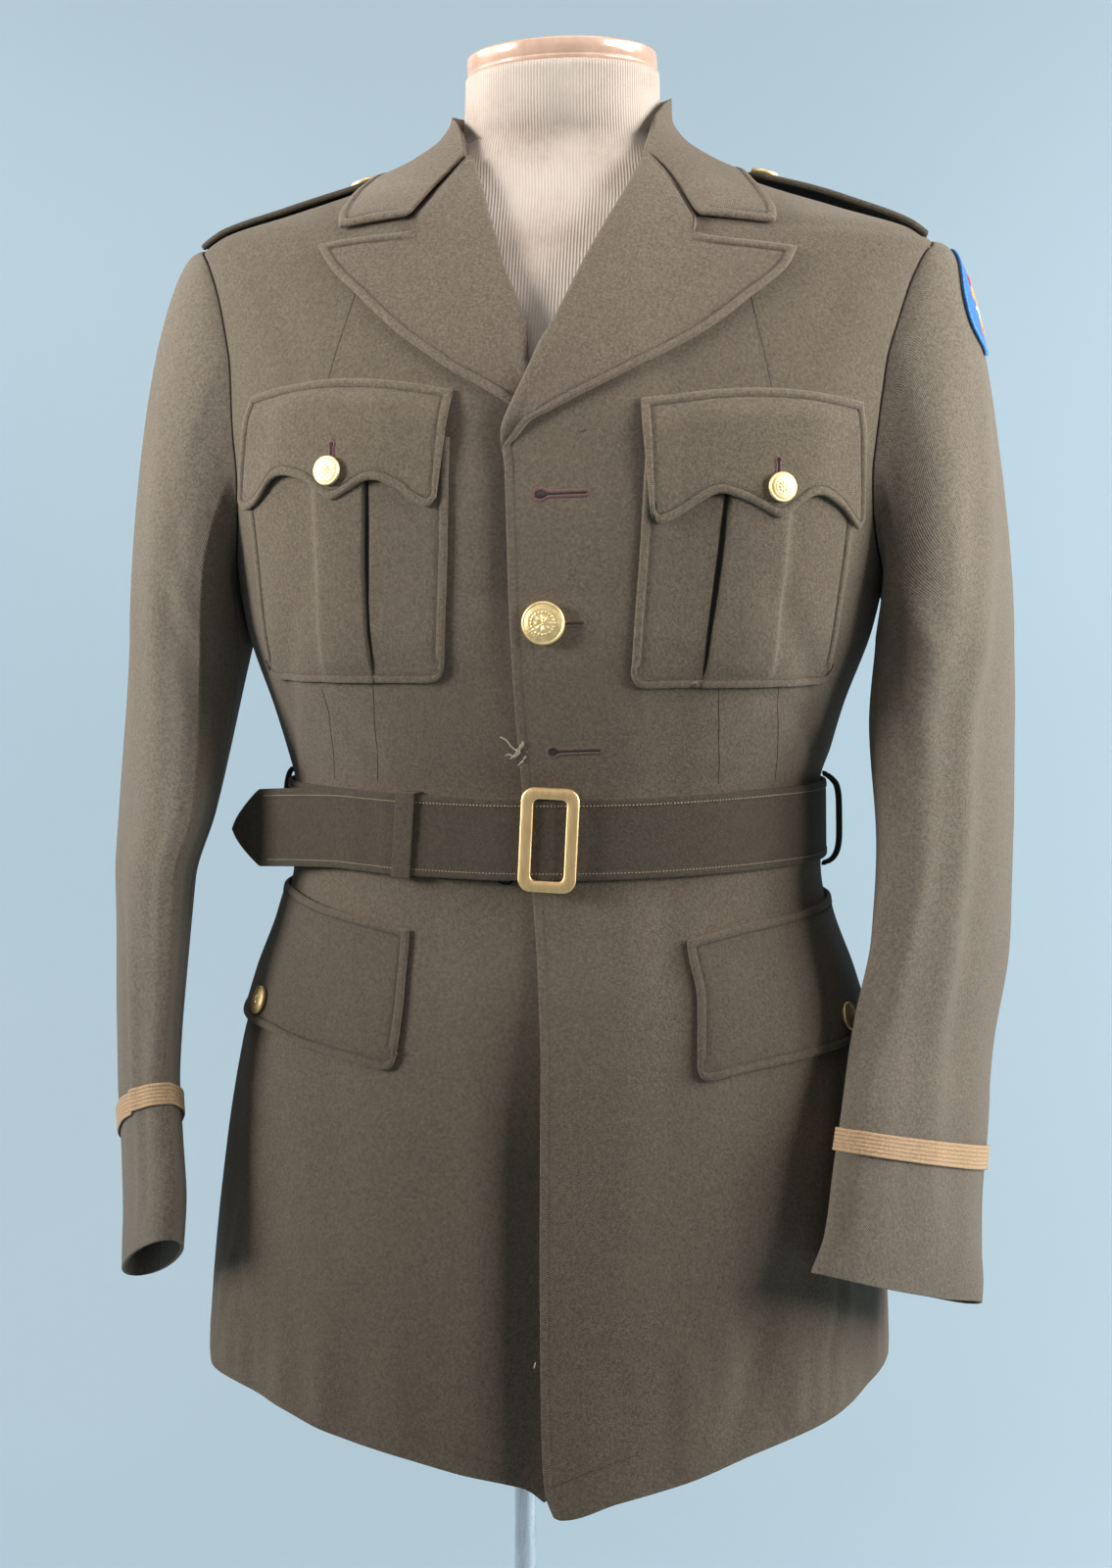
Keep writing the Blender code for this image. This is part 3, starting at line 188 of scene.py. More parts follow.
# The armholes, one turn for each height and side of the hole.
ARMHOLE_BOTTOM = 1277
SHOULDER_TIP = 1475.5
ARMHOLE_FRONT = ((1277, 95), (1281, 88), (1290, 78), (1306, 69), (1327, 64), (1350, 62), (1402, 62),
                 (1427, 64), (1447, 67), (1463, 72), (1472, 80), (1475.5, 90))
ARMHOLE_BACK = ((1277, 95), (1281, 99), (1290, 104), (1306, 109), (1327, 113), (1350, 115), (1402, 114),
                (1427, 112), (1447, 109), (1463, 105), (1472, 99), (1475.5, 90))
SIDE_SEAM = 95
NECK_POINT = 1530

# Sleeve sections below the armhole, across the arm; the tilt lifts the front of a section.
SLEEVE_TOP = 1250
SLEEVE_SECTIONS = {
    LEFT: (
        # height, centre_x, centre_y, half_thin, half_wide, twist, tilt
        (1250, 219, -5, 34, 80, -17, 0),
        (1204, 218, -8, 33, 78, -22, 1),
        (1143, 220, -14, 30, 75, -23, 2),
        (1088, 218, -24, 27, 73, -27, 5),
        (1034, 210, -38, 25, 71, -31, 8),
        (993, 205, -60, 23, 70, -34, 12),
        (955, 200, -74, 21, 69, -36, 15),
        (920, 197, -84, 19, 68, -39, 18),
        (899, 192, -90, 18, 70, -41, 19),
    ),
    RIGHT: (
        (1250, -217, -3, 36, 80, -12, 0),
        (1190, -226, -6, 30.5, 78, -18, 1),
        (1150, -232, -9, 26.5, 77, -20, 3),
        (1111, -238, -14, 22.5, 76, -18, 6),
        (1054, -238, -26, 19.5, 74, -18, 12),
        (1002, -237, -38, 17, 73, -18, 18),
        (959, -233, -48, 16, 72, -19, 21),
        (921, -230, -57, 16, 71, -20, 22),
        (899, -230, -62, 15.5, 70, -20, 23),
    ),
}
CUFF = {LEFT: 899, RIGHT: 899}
SLEEVE_HEAD = {LEFT: 0.40, RIGHT: 0.33}
SLEEVE_SEAMS = (140, 224)
BRAID_RISE = {LEFT: 67, RIGHT: 74}
BRAID_WIDTH = 12.7
BRAID_WALL = 1.0

# Lapel edges from the break up to the tip, and the top edge out from the roll line.
LAPEL_EDGE = {
    LEFT: ((-15, 1354.5), (-4, 1366), (14, 1376), (35, 1387), (57, 1399), (85, 1416),
           (106, 1433), (127, 1452), (131, 1461)),
    RIGHT: ((-20, 1378), (-32, 1385), (-47, 1393), (-62, 1403), (-78, 1414), (-90, 1424),
            (-103, 1436), (-120, 1452), (-129, 1465)),
}
LAPEL_TOP = {
    LEFT: ((50, 1513), (57, 1505), (66, 1492), (74, 1479), (77, 1470), (88, 1467.5),
           (98, 1466), (115, 1463.5), (131, 1461)),
    RIGHT: ((-47, 1515), (-53, 1508), (-62, 1496), (-72, 1481), (-75, 1473), (-88, 1471.5),
            (-101, 1470), (-115, 1468), (-129, 1465)),
}
LAPEL_ROLL = {
    LEFT: ((-20, 1352), (-19, 1360), (-16, 1368), (-11, 1380), (-5, 1394), (2, 1411), (10, 1428),
           (18, 1446), (28, 1467), (38, 1487), (50, 1513)),
    RIGHT: ((-10, 1399), (-11, 1408), (-12.5, 1417), (-18.5, 1433), (-26, 1449), (-31.5, 1466),
            (-37, 1482), (-42.5, 1500), (-47, 1515)),
}

# The collar, from each gorge round the back of the neck. It stands a little higher on the left.
COLLAR_STATIONS = (
    # place, crest_x, crest_y, crest_z, edge_x, edge_y, edge_z, stand
    (0.00, 49, -50, 1515.5, 117, -78, 1475, 0),
    (0.09, 51.5, -44, 1523, 117.5, -70, 1480, 1),
    (0.22, 55.5, -31, 1536, 113, -54, 1494, 5),
    (0.36, 59.5, -14, 1547, 106, -32, 1506, 9),
    (0.50, 60, 6, 1553.5, 100, -4, 1513, 14),
    (0.64, 53, 29, 1556, 88, 26, 1515, 17),
    (0.76, 41, 45.5, 1557, 68, 52, 1513, 18),
    (0.88, 23, 56.5, 1557.5, 38, 69, 1511, 19),
    (1.00, 0, 61, 1557.5, 0, 76, 1510, 19),
)
COLLAR_SIDE_RISE = 4.5
COLLAR_TIP_SHIFT = {LEFT: 3.0, RIGHT: -2.5}
# The collar's front end: down the gorge seam beside the lapel, then out to the tip.
GORGE = {
    LEFT: ((50, 1516.5), (60.5, 1506.7), (69.5, 1493.7), (77, 1481.5), (80, 1478.5), (98, 1477),
           (120, 1475)),
    RIGHT: ((49, 1516), (55, 1509), (64.5, 1497), (74.5, 1482.5), (78, 1480), (95, 1478), (114.5, 1475)),
}
GORGE_REACH = 0.32
# Pockets and flaps: distances from the centre front, the same on both fronts.
POCKET_TOP = 1358
POCKET_BOTTOM = {LEFT: 1229, RIGHT: 1231}
POCKET_INNER_BOTTOM = 49
POCKET_INNER_TOP = {LEFT: 55.5, RIGHT: 47.5}
POCKET_OUTER_TOP = 179
POCKET_OUTER_BOTTOM = 169
PLEAT_RISE = 2.2
UPPER_FLAP = {
    # inner_top, inner_bottom, outer_top, outer_bottom, inner_height, outer_height, crown
    LEFT: (52, 57.5, 178, 182, 1377, 1379, 6),
    RIGHT: (47, 53.5, 171, 183, 1383, 1384, 7),
}
SCALLOP = {
    # across, drop
    LEFT: ((0.0, 59), (0.04, 65), (0.12, 62.5), (0.20, 58.5), (0.28, 57), (0.36, 58.5), (0.44, 64),
           (0.50, 67.5), (0.56, 64), (0.64, 58.5), (0.72, 57), (0.80, 58.5), (0.88, 63.5),
           (0.96, 68), (1.0, 62)),
    RIGHT: ((0.0, 57), (0.04, 62.5), (0.12, 60), (0.20, 56), (0.28, 55), (0.36, 57), (0.44, 61.5),
            (0.50, 64.5), (0.56, 60), (0.64, 53.5), (0.72, 52), (0.80, 53.5), (0.88, 58.5),
            (0.96, 62.5), (1.0, 57)),
}
LOWER_FLAP_ENDS = {LEFT: (82, 296), RIGHT: (69, 288)}
LOWER_FLAP_TOP = {
    # along, height
    LEFT: ((80, 1092), (111, 1098), (140, 1101), (190, 1104), (250, 1106), (300, 1106)),
    RIGHT: ((65, 1096), (95, 1101), (127, 1105), (176, 1111), (250, 1112), (300, 1112)),
}
LOWER_FLAP_DROP = 75
FLAP_CORNER = 9

# Buttons: where they sit and their sizes.
FRONT_BUTTON_RADIUS = 11.4
SMALL_BUTTON_RADIUS = 7.95
BUTTON_HEIGHT = 0.42
UPPER_BUTTONS = {LEFT: (124.5, 1332), RIGHT: (111.5, 1341)}
LOWER_BUTTONS = {LEFT: (194, 1043), RIGHT: (180, 1049)}
FRONT_BUTTON = (3, 1262)

# Shoulder loops, from the sleeve head towards the collar, in plan.
LOOP_OUTER = 204.5
LOOP_INNER = 103
LOOP_HALF_OUTER = 25
LOOP_HALF_INNER = 19
LOOP_WALL = 2.6
LOOP_LIFT = {LEFT: 4.0, RIGHT: 1.5}
LOOP_BUTTON_X = 113

# The belt lies round the waist from its buckle, and its tongue laps the wearer's right front.
BELT_HEIGHT = 1147.5
BELT_HALF = 21.4
BELT_RISE = 3
BELT_LIFTS = (
    # turn, outer_face
    (1, 5.9),
    (-6, 5.9),
    (-14, 3.8),
    (-21, 3.8),
    (-24, 5.2),
    (-29, 5.2),
    (-33, 3.7),
    (-60, 3.5),
    (-310, 3.5),
    (-328, 4.2),
    (-345, 6.2),
    (-351, 6.8),
    (-358, 8.8),
    (-366, 9.0),
    (-374, 7.2),
    (-381, 7.0),
    (-384, 8.4),
    (-389, 8.4),
    (-393, 7.0),
    (-402, 6.8),
)
TONGUE_LENGTH = 88
TONGUE_POINT = 23
TONGUE_DROP = 5.5
TONGUE_BEND = 420
KEEPER_TURN = -25
KEEPER_WIDTH = 10.5
KEEPER_WALL = 1.2
BUCKLE_X = 4
BUCKLE_SIZE = (31, 55.5)
BUCKLE_BARS = (6.6, 6.1)
BUCKLE_CORNER = 7
BUCKLE_THICKNESS = 2.4
BUCKLE_LEAN = 2.7
SIDE_LOOP_TURN = {LEFT: 88, RIGHT: -86}
SIDE_LOOP_STAND = {LEFT: 12, RIGHT: 7}
SIDE_LOOP_HALF = {LEFT: 27.5, RIGHT: 28.5}
SIDE_LOOP_LEVEL = 1150
SIDE_LOOP_WALL = 2

PATCH_RADIUS = 31.5
PATCH_DROP = 44
PATCH_WALL = 1.0

# The dress form inside the coat, its neck cap and its stand.
FORM_CLEARANCE = (
    # height, distance in from the coat's outer surface
    (905, 62),
    (915, 48),
    (950, 36),
    (1000, 24),
    (1060, 14),
    (1146, 8),
    (1213, 9),
    (1310, 9),
    (1390, 6),
    (1440, 3.6),
    (1475, 2.9),
    (1532, 2.9),
)
FORM_NECK = (
    # height, half_width, front, back
    (1531, 57, 50, 54),
    (1541, 56, 54, 56),
    (1552, 55.5, 55.5, 57),
    (1569, 55, 55.5, 56.5),
)
NECK_TILT = 0.035
CAP_RADIUS = 54
CAP_HEIGHT = 12
POLE_RADIUS = 6.35
FOOT_RADIUS = 150
FOOT_HEIGHT = 9
SOCKET_RADIUS = 14
SOCKET_HEIGHT = 34
FLANGE_RADIUS = 32
FLANGE_HEIGHT = 6


# ---------------------------------------------------------------- curves and tables

class Track:
    """Smooth, overshoot-free curves through the rows of a table, against its first column."""

    def __init__(self, rows):
        table = np.array(rows, dtype=float)
        if table[0, 0] > table[-1, 0]:
            table = table[::-1]
        self.keys = table[:, 0]
        self.values = table[:, 1:]
        rates = np.diff(self.values, axis=0) / np.diff(self.keys)[:, None]
        self.slopes = np.zeros_like(self.values)
        before, after = rates[:-1], rates[1:]
        same_way = before * after > 0
        total = np.where(same_way, before + after, 1.0)
        self.slopes[1:-1] = np.where(same_way, 2 * before * after / total, 0.0)
        self.slopes[0], self.slopes[-1] = rates[0], rates[-1]

    def __call__(self, key):
        key = np.clip(np.asarray(key, dtype=float), self.keys[0], self.keys[-1])
        i = np.clip(np.searchsorted(self.keys, key) - 1, 0, len(self.keys) - 2)
        step = (self.keys[i + 1] - self.keys[i])[..., None]
        t = (key - self.keys[i])[..., None] / step
        leave, arrive = self.slopes[i] * step, self.slopes[i + 1] * step
        return hermite(t, self.values[i], self.values[i + 1], leave, arrive)

    def parts(self, key):
        """The columns at keys, one array for each."""
        return np.moveaxis(self(key), -1, 0)

    def one(self, key):
        return self(key)[..., 0]


def smooth(low, high, value):
    """0 up to low and 1 from high on, with a soft ramp between."""
    t = np.clip((value - low) / (high - low), 0.0, 1.0)
    return t * t * (3 - 2 * t)


def mix(start, end, t):
    return start + (end - start) * t


def hermite(t, start, end, leave, arrive):
    """A cubic from start to end that leaves and arrives at the given rates."""
    return ((1 + 2 * t) * (1 - t) ** 2 * start + t * (1 - t) ** 2 * leave
            + t * t * (3 - 2 * t) * end + t * t * (t - 1) * arrive)


def round_corner(end, corner):
    """How far a rounded corner lies in, at distances from its end."""
    return corner - np.sqrt(np.maximum(corner ** 2 - np.maximum(corner - end, 0) ** 2, 0))


def gauss(value):
    return np.exp(-value * value)


def unit(vectors):
    return vectors / np.maximum(np.linalg.norm(vectors, axis=-1, keepdims=True), 1e-9)


def floats(*values):
    """Values as arrays of one shape."""
    return np.broadcast_arrays(*(np.asarray(value, dtype=float) for value in values))


def direction(degrees):
    """The cosine and sine of angles in degrees."""
    return np.cos(np.radians(degrees)), np.sin(np.radians(degrees))


def powered(value, power):
    """A power that keeps the sign."""
    return np.sign(value) * np.abs(value) ** power


def ring_angles(count):
    return np.linspace(0, 2 * math.pi, count + 1)[:-1]


def runs_of(points, axis):
    """Distances along one axis of a grid of points, from its start."""
    steps = np.linalg.norm(np.diff(points, axis=axis), axis=-1)
    return np.insert(np.cumsum(steps, axis=axis), 0, 0, axis=axis)


def lengths_of(points):
    return runs_of(points, 0)


def line_at(at, lengths, line):
    """Places on a line at distances along it."""
    return np.stack([np.interp(at, lengths, line[:, k]) for k in range(line.shape[1])], -1)


def path_at(points, share):
    """Points at shares of a polyline's length."""
    points = np.array(points, dtype=float)
    lengths = lengths_of(points)
    return line_at(np.asarray(share) * lengths[-1], lengths, points)


def spline(points, share):
    """As path_at, on a smooth curve through the points."""
    points = np.array(points, dtype=float)
    curve = Track([(length, *point) for length, point in zip(lengths_of(points), points)])
    dense = curve(np.linspace(0, curve.keys[-1], 40 * len(points)))
    return path_at(dense, share)


# Distances from an edge of the columns that carry its padded welt and its stitches.
STITCH_IN = 4.7
FINE = np.array((0, 0.5, 1.2, 2.0, 2.8, 3.6, 4.3, 5.0, 5.8, 7.0))


def spots(length, step, start=True, end=True):
    """Distances along a length, close together at the ends that carry a stitched edge."""
    low = FINE if start else FINE[:1]
    high = FINE if end else FINE[:1]
    count = max(int(round((length - low[-1] - high[-1]) / step)), 3) + 1
    middle = np.linspace(low[-1], length - high[-1], count)
    return np.concatenate([low[:-1], middle, length - high[:-1][::-1]])


# ---------------------------------------------------------------- the coat's surface

SECTION = Track(BODY_SECTIONS)
HEM_LINE = Track(HEM)
HOLE_FRONT, HOLE_BACK = Track(ARMHOLE_FRONT), Track(ARMHOLE_BACK)


def wrap(turn):
    """An angle between -180 and 180 degrees."""
    return (turn + 180) % 360 - 180


def fold_out(turn, height):
    share = smooth(FOLD_TOP, FOLD_FULL, height)
    return share * sum(depth * gauss((wrap(turn) - at) / width) for at, width, depth in SKIRT_FOLDS)


def base_point(turn, height):
    turn, height = floats(turn, height)
    centre, half_width, front, back, power = SECTION.parts(height)
    cosine, sine = direction(turn)
    depth = np.where(cosine > 0, -front, back)
    swell = 1 + fold_out(turn, height) / half_width
    x = centre + swell * half_width * powered(sine, 2 / power)
    return np.stack([x, swell * depth * np.abs(cosine) ** (2 / power), height], -1)


def body_normal(turn, height):
    sideways = base_point(turn + 0.6, height) - base_point(turn - 0.6, height)
    upwards = base_point(turn, height + 1.0) - base_point(turn, height - 1.0)
    return unit(np.cross(sideways, upwards))


def body_point(turn, height, out=0.0):
    return base_point(turn, height) + body_normal(turn, height) * np.asarray(out)[..., None]


# The ring tables' heights, turns and distances round the body, and their steps.
HEIGHT_STEP, TURN_STEP, ALONG_STEP = 4.0, 1.5, 2.0
RING_HEIGHTS = np.arange(776, 1581, HEIGHT_STEP)
RING_TURNS = np.arange(0, 180.1, TURN_STEP)
RING_ALONG = np.arange(0, 641, ALONG_STEP)


def ring_tables():
    """For each side, the distance round each ring at each turn, and the turn at each distance."""
    tables = {}
    for side in (LEFT, RIGHT):
        lengths = runs_of(base_point(side * RING_TURNS[None, :], RING_HEIGHTS[:, None]), 1)
        tables[side] = lengths, np.array([np.interp(RING_ALONG, row, RING_TURNS) for row in lengths])
    return tables


RINGS = ring_tables()


def look_up(table, row, column):
    """Values between a table's entries, at rows and columns that need not be whole."""
    row = np.clip(row, 0, table.shape[0] - 1.001)
    column = np.clip(column, 0, table.shape[1] - 1.001)
    i, j = row.astype(int), column.astype(int)
    a, b = row - i, column - j
    return ((table[i, j] * (1 - b) + table[i, j + 1] * b) * (1 - a)
            + (table[i + 1, j] * (1 - b) + table[i + 1, j + 1] * b) * a)


def from_rings(kind, place, step, height):
    """A ring table's value at places round the body, with the places' own signs."""
    place, height = floats(place, height)
    row = (height - RING_HEIGHTS[0]) / HEIGHT_STEP
    left, right = [look_up(RINGS[side][kind], row, np.abs(place) / step) for side in (LEFT, RIGHT)]
    return np.where(place >= 0, left, -right)


def turn_at(along, height):
    return from_rings(1, along, ALONG_STEP, height)


def along_at(turn, height):
    return from_rings(0, turn, TURN_STEP, height)


def turn_of_x(x, height):
    """The turn of the coat's front at a distance to the wearer's left."""
    centre, half_width, _, _, power = SECTION.parts(height)
    share = np.minimum(np.abs(x - centre) / half_width, 1.0)
    return np.copysign(np.degrees(np.arcsin(share ** (power / 2))), x - centre)


def front_lift(side, turn, height):
    """The left front laps out over the right one, which swings in below the belt."""
    x = base_point(turn, height)[..., 0]
    if side == LEFT:
        return FRONT_LAP * smooth(74, 44, x)
    return -15 * smooth(-42, 6, x) * smooth(1110, 960, height)


def creases(rows, u, v):
    """The depth of soft troughs and ridges at u, v; a trough's depth is below zero."""
    total = 0.0
    for at_u, at_v, angle, half_length, half_width, depth in rows:
        c, s = math.cos(math.radians(angle)), math.sin(math.radians(angle))
        forward = (u - at_u) * c + (v - at_v) * s
        across = (v - at_v) * c - (u - at_u) * s
        bend = across - 0.12 * half_length * (forward / half_length) ** 2
        flank = gauss((np.abs(bend) - 1.8 * half_width) / half_width)
        length = np.exp(-(forward / half_length) ** 4)
        total = total + depth * length * (gauss(bend / half_width) - 0.3 * flank)
    return total


# On the fronts, u is the distance from the centre front to the wearer's left.
FRONT_CREASES = (
    # u, height, angle, half_length, half_width, depth
    (150, 1240, 118, 52, 9, -1.3),
    (168, 1196, 128, 40, 7, -1.1),
    (-152, 1236, 64, 50, 9, -1.2),
    (-104, 1203, 140, 20, 6, -1.3),
    (112, 1201, 20, 22, 6, -0.8),
    (140, 1216, 150, 20, 6, -0.9),
    (-168, 1192, 54, 38, 7, -1.0),
    (44, 1196, 96, 34, 9, 0.5),
    (70, 1088, 84, 26, 9, -0.9),
    (118, 1000, 78, 70, 16, -1.2),
    (178, 940, 84, 90, 15, 1.5),
    (-52, 1086, 97, 26, 9, -0.8),
    (-112, 990, 98, 80, 15, -1.2),
    (-176, 950, 95, 90, 14, 1.4),
    (-24, 930, 91, 110, 9, 0.8),
    (150, 1420, 60, 34, 9, -1.0),
    (-148, 1424, 118, 34, 9, -1.0),
    (126, 868, 86, 44, 12, -1.6),
    (92, 852, 92, 34, 10, 1.3),
    (54, 846, 90, 30, 9, -0.8),
    (-96, 858, 88, 38, 11, -1.6),
    (-66, 856, 94, 32, 9, 1.2),
    (-150, 868, 94, 44, 13, 1.5),
    (-196, 905, 70, 26, 5, 1.2),
    (-184, 896, 112, 20, 5, -1.0),
    (-206, 880, 84, 22, 5, 0.9),
    (196, 902, 104, 30, 6, 1.2),
    (186, 884, 78, 22, 5, -1.1),
    (112, 872, 96, 34, 7, 0.9),
    (136, 890, 82, 30, 7, -0.9),
)
BACK_CREASES = (
    (420, 1180, 82, 46, 12, -1.6),
    (330, 1176, 98, 50, 11, -1.3),
    (-420, 1182, 98, 46, 12, -1.6),
    (-332, 1178, 82, 48, 11, -1.4),
    (372, 1090, 92, 40, 13, 1.4),
    (-370, 1088, 88, 42, 13, 1.4),
    (300, 1405, 62, 48, 12, -1.4),
    (-300, 1402, 118, 50, 12, -1.4),
    (430, 900, 88, 90, 17, -1.5),
    (-440, 905, 92, 88, 17, -1.5),
    (350, 880, 94, 70, 15, 1.4),
    (-352, 884, 86, 72, 15, 1.3),
)


def hem_puckers(turn, along, height):
    """Small ripples where the hem is sewn, more towards the sides."""
    above = height - HEM_LINE.one(wrap(turn))
    where = smooth(70, 12, above) * smooth(55, 130, np.abs(along))
    wave = np.sin(along / 3.3 + 1.7 * np.sin(along / 14.0)) + 0.6 * np.sin(along / 6.1 + above / 16.0)
    return 0.42 * where * wave * smooth(-2, 9, above)


def front_out(side, turn, height):
    along = along_at(turn, height)
    quiet = 1 - smooth(1455, 1480, height)
    total = front_lift(side, turn, height) + creases(FRONT_CREASES, along, height) * quiet
    if side == RIGHT:
        total = total - (3.2 * smooth(-36, -12, along) * smooth(1215, 1300, height)
                         * smooth(1384, 1362, height))
    return total + hem_puckers(turn, along, height)


def laid_on_front(side, along, height, out):
    """Places over a front, out from its creased surface."""
    turn = turn_at(along, height)
    return body_point(turn, height, out + front_out(side, turn, height))


def shell_value(points):
    """Above zero outside the coat's section and below zero inside."""
    centre, half_width, front, back, power = SECTION.parts(points[..., 2])
    depth = np.where(points[..., 1] < 0, front, back)
    across = (np.abs(points[..., 0] - centre) / half_width) ** power
    return across + (np.abs(points[..., 1]) / depth) ** power - 1


def onto_body(points, out=0.0):
    """Places moved onto the coat's surface, then out from it."""
    points = np.array(points, dtype=float)
    for _ in range(6):
        value = shell_value(points)
        gradient = np.stack([(shell_value(points + np.eye(3)[k] * 0.2) - value) / 0.2 for k in range(3)], -1)
        points = points - gradient * (value / (gradient * gradient).sum(-1))[..., None]
    return points + unit(gradient) * np.asarray(out)[..., None]


# ---------------------------------------------------------------- making meshes

def placed(points):
    return (np.asarray(points, dtype=float) + np.array([BODY_X, 0, 0])) * MM


def moved(matrix, points):
    """Points in millimetres, taken into the scene by a matrix in metres."""
    matrix = np.array(matrix)
    return (points.reshape(-1, 3) * MM) @ matrix[:3, :3].T + matrix[:3, 3]


def added(name, data):
    """A new object in the scene."""
    thing = bpy.data.objects.new(name, data)
    bpy.context.scene.collection.objects.link(thing)
    return thing


def ring_faces(rings, sides, joined=False, flip=False):
    """Faces over rings of points: capped at both ends, or joined from the last ring to the first."""
    index = np.arange(rings * sides).reshape(rings, sides)
    onward = np.roll(index, -1, axis=1)
    if joined:
        corners, caps = (index, onward, np.roll(onward, -1, axis=0), np.roll(index, -1, axis=0)), []
    else:
        corners, caps = (index[:-1], onward[:-1], onward[1:], index[1:]), [index[0][::-1], index[-1]]
    if flip:
        corners, caps = (corners[0], *corners[:0:-1]), [cap[::-1] for cap in caps]
    return np.stack(corners, -1).reshape(-1, 4).tolist() + [cap.tolist() for cap in caps]


def mesh_object(name, vertices, faces, finish, uv=None, wear_and_painted_light=None, replaces=()):
    mesh = bpy.data.meshes.new(name)
    mesh.from_pydata(vertices.tolist(), [], faces)
    if uv is not None:
        layer = mesh.uv_layers.new(name="cloth")
        index = np.zeros(len(mesh.loops), dtype=np.int32)
        mesh.loops.foreach_get("vertex_index", index)
        layer.data.foreach_set("uv", uv[index].astype(np.float32).ravel())
    if wear_and_painted_light is not None:
        mesh.attributes.new("wear_and_painted_light", "FLOAT", "POINT").data.foreach_set("value", wear_and_painted_light.astype(np.float32))
    mesh.shade_smooth()
    thing = added(name, mesh)
    mesh.materials.append(finish)
    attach(thing, "root")
    if replaces:
        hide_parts(*replaces)
    return thing


def grid_normals(points, closed=False):
    if closed:
        across = np.roll(points, -1, axis=1) - np.roll(points, 1, axis=1)
    else:
        across = np.gradient(points, axis=1)
    return unit(np.cross(across, np.gradient(points, axis=0)))


def off_body(points):
    """The way out from the body."""
    lift = 120 * smooth(1440, 1500, points[..., 2])
    return np.stack([points[..., 0], points[..., 1] * 1.4, lift], -1)


def grid_uv(points, closed=False):
    """Places on the flat cloth, in metres."""
    if closed:
        points = np.concatenate([points, points[:, :1]], axis=1)
    u = runs_of(points, 1)
    down = np.linalg.norm(np.diff(points, axis=0), axis=2).mean(1)
    v = np.concatenate([[0], np.cumsum(down)])
    uv = np.stack([u, np.broadcast_to(v[:, None], u.shape)], -1) * MM
    return uv[:, :-1] if closed else uv


def edge_distance(points, sides):
    """The distance over the cloth to the nearest of the named sides of a grid."""
    across, down = runs_of(points, 1), runs_of(points, 0)
    runs = {"left": across, "right": across[:, -1:] - across, "low": down, "high": down[-1:] - down}
    return np.min([runs[side] for side in sides], axis=0)


def edge_line(points, side, distance):
    """The line over a grid at a distance from one of its sides."""
    if side in ("low", "high"):
        points = points.transpose(1, 0, 2)
    if side in ("right", "high"):
        points = points[:, ::-1]
    return np.array([line_at(distance, lengths_of(row), row) for row in points])


def outline(points, index):
    """The rim of an open grid: its point numbers in order, and the way out of the cloth at each."""
    push = np.zeros(points.shape)
    push[0] += unit(points[0] - points[1])
    push[-1] += unit(points[-1] - points[-2])
    push[:, 0] += unit(points[:, 0] - points[:, 1])
    push[:, -1] += unit(points[:, -1] - points[:, -2])
    rim = np.concatenate([index[0, :-1], index[:-1, -1], index[-1, :0:-1], index[:0:-1, 0]])
    return rim, push.reshape(-1, 3)[rim]


def cut_sheet(thing, points, closed):
    """Declares a piece as a sheet with the size and area of its grid."""
    if closed:
        points = np.concatenate([points, points[:, :1]], axis=1)
    across = np.linalg.norm(np.diff(points, axis=1), axis=2)
    down = np.linalg.norm(np.diff(points, axis=0), axis=2)
    area = ((across[1:] + across[:-1]) * (down[:, 1:] + down[:, :-1])).sum() / 4 * MM * MM
    size = max(across.sum(1).max() * MM, 0.01), max(down.sum(0).max() * MM, 0.01)
    area = min(max(area, 0.31 * size[0] * size[1]), size[0] * size[1])
    SHEETS.append((thing.name, round(size[0] * 1000), round(size[1] * 1000), round(area, 4)))


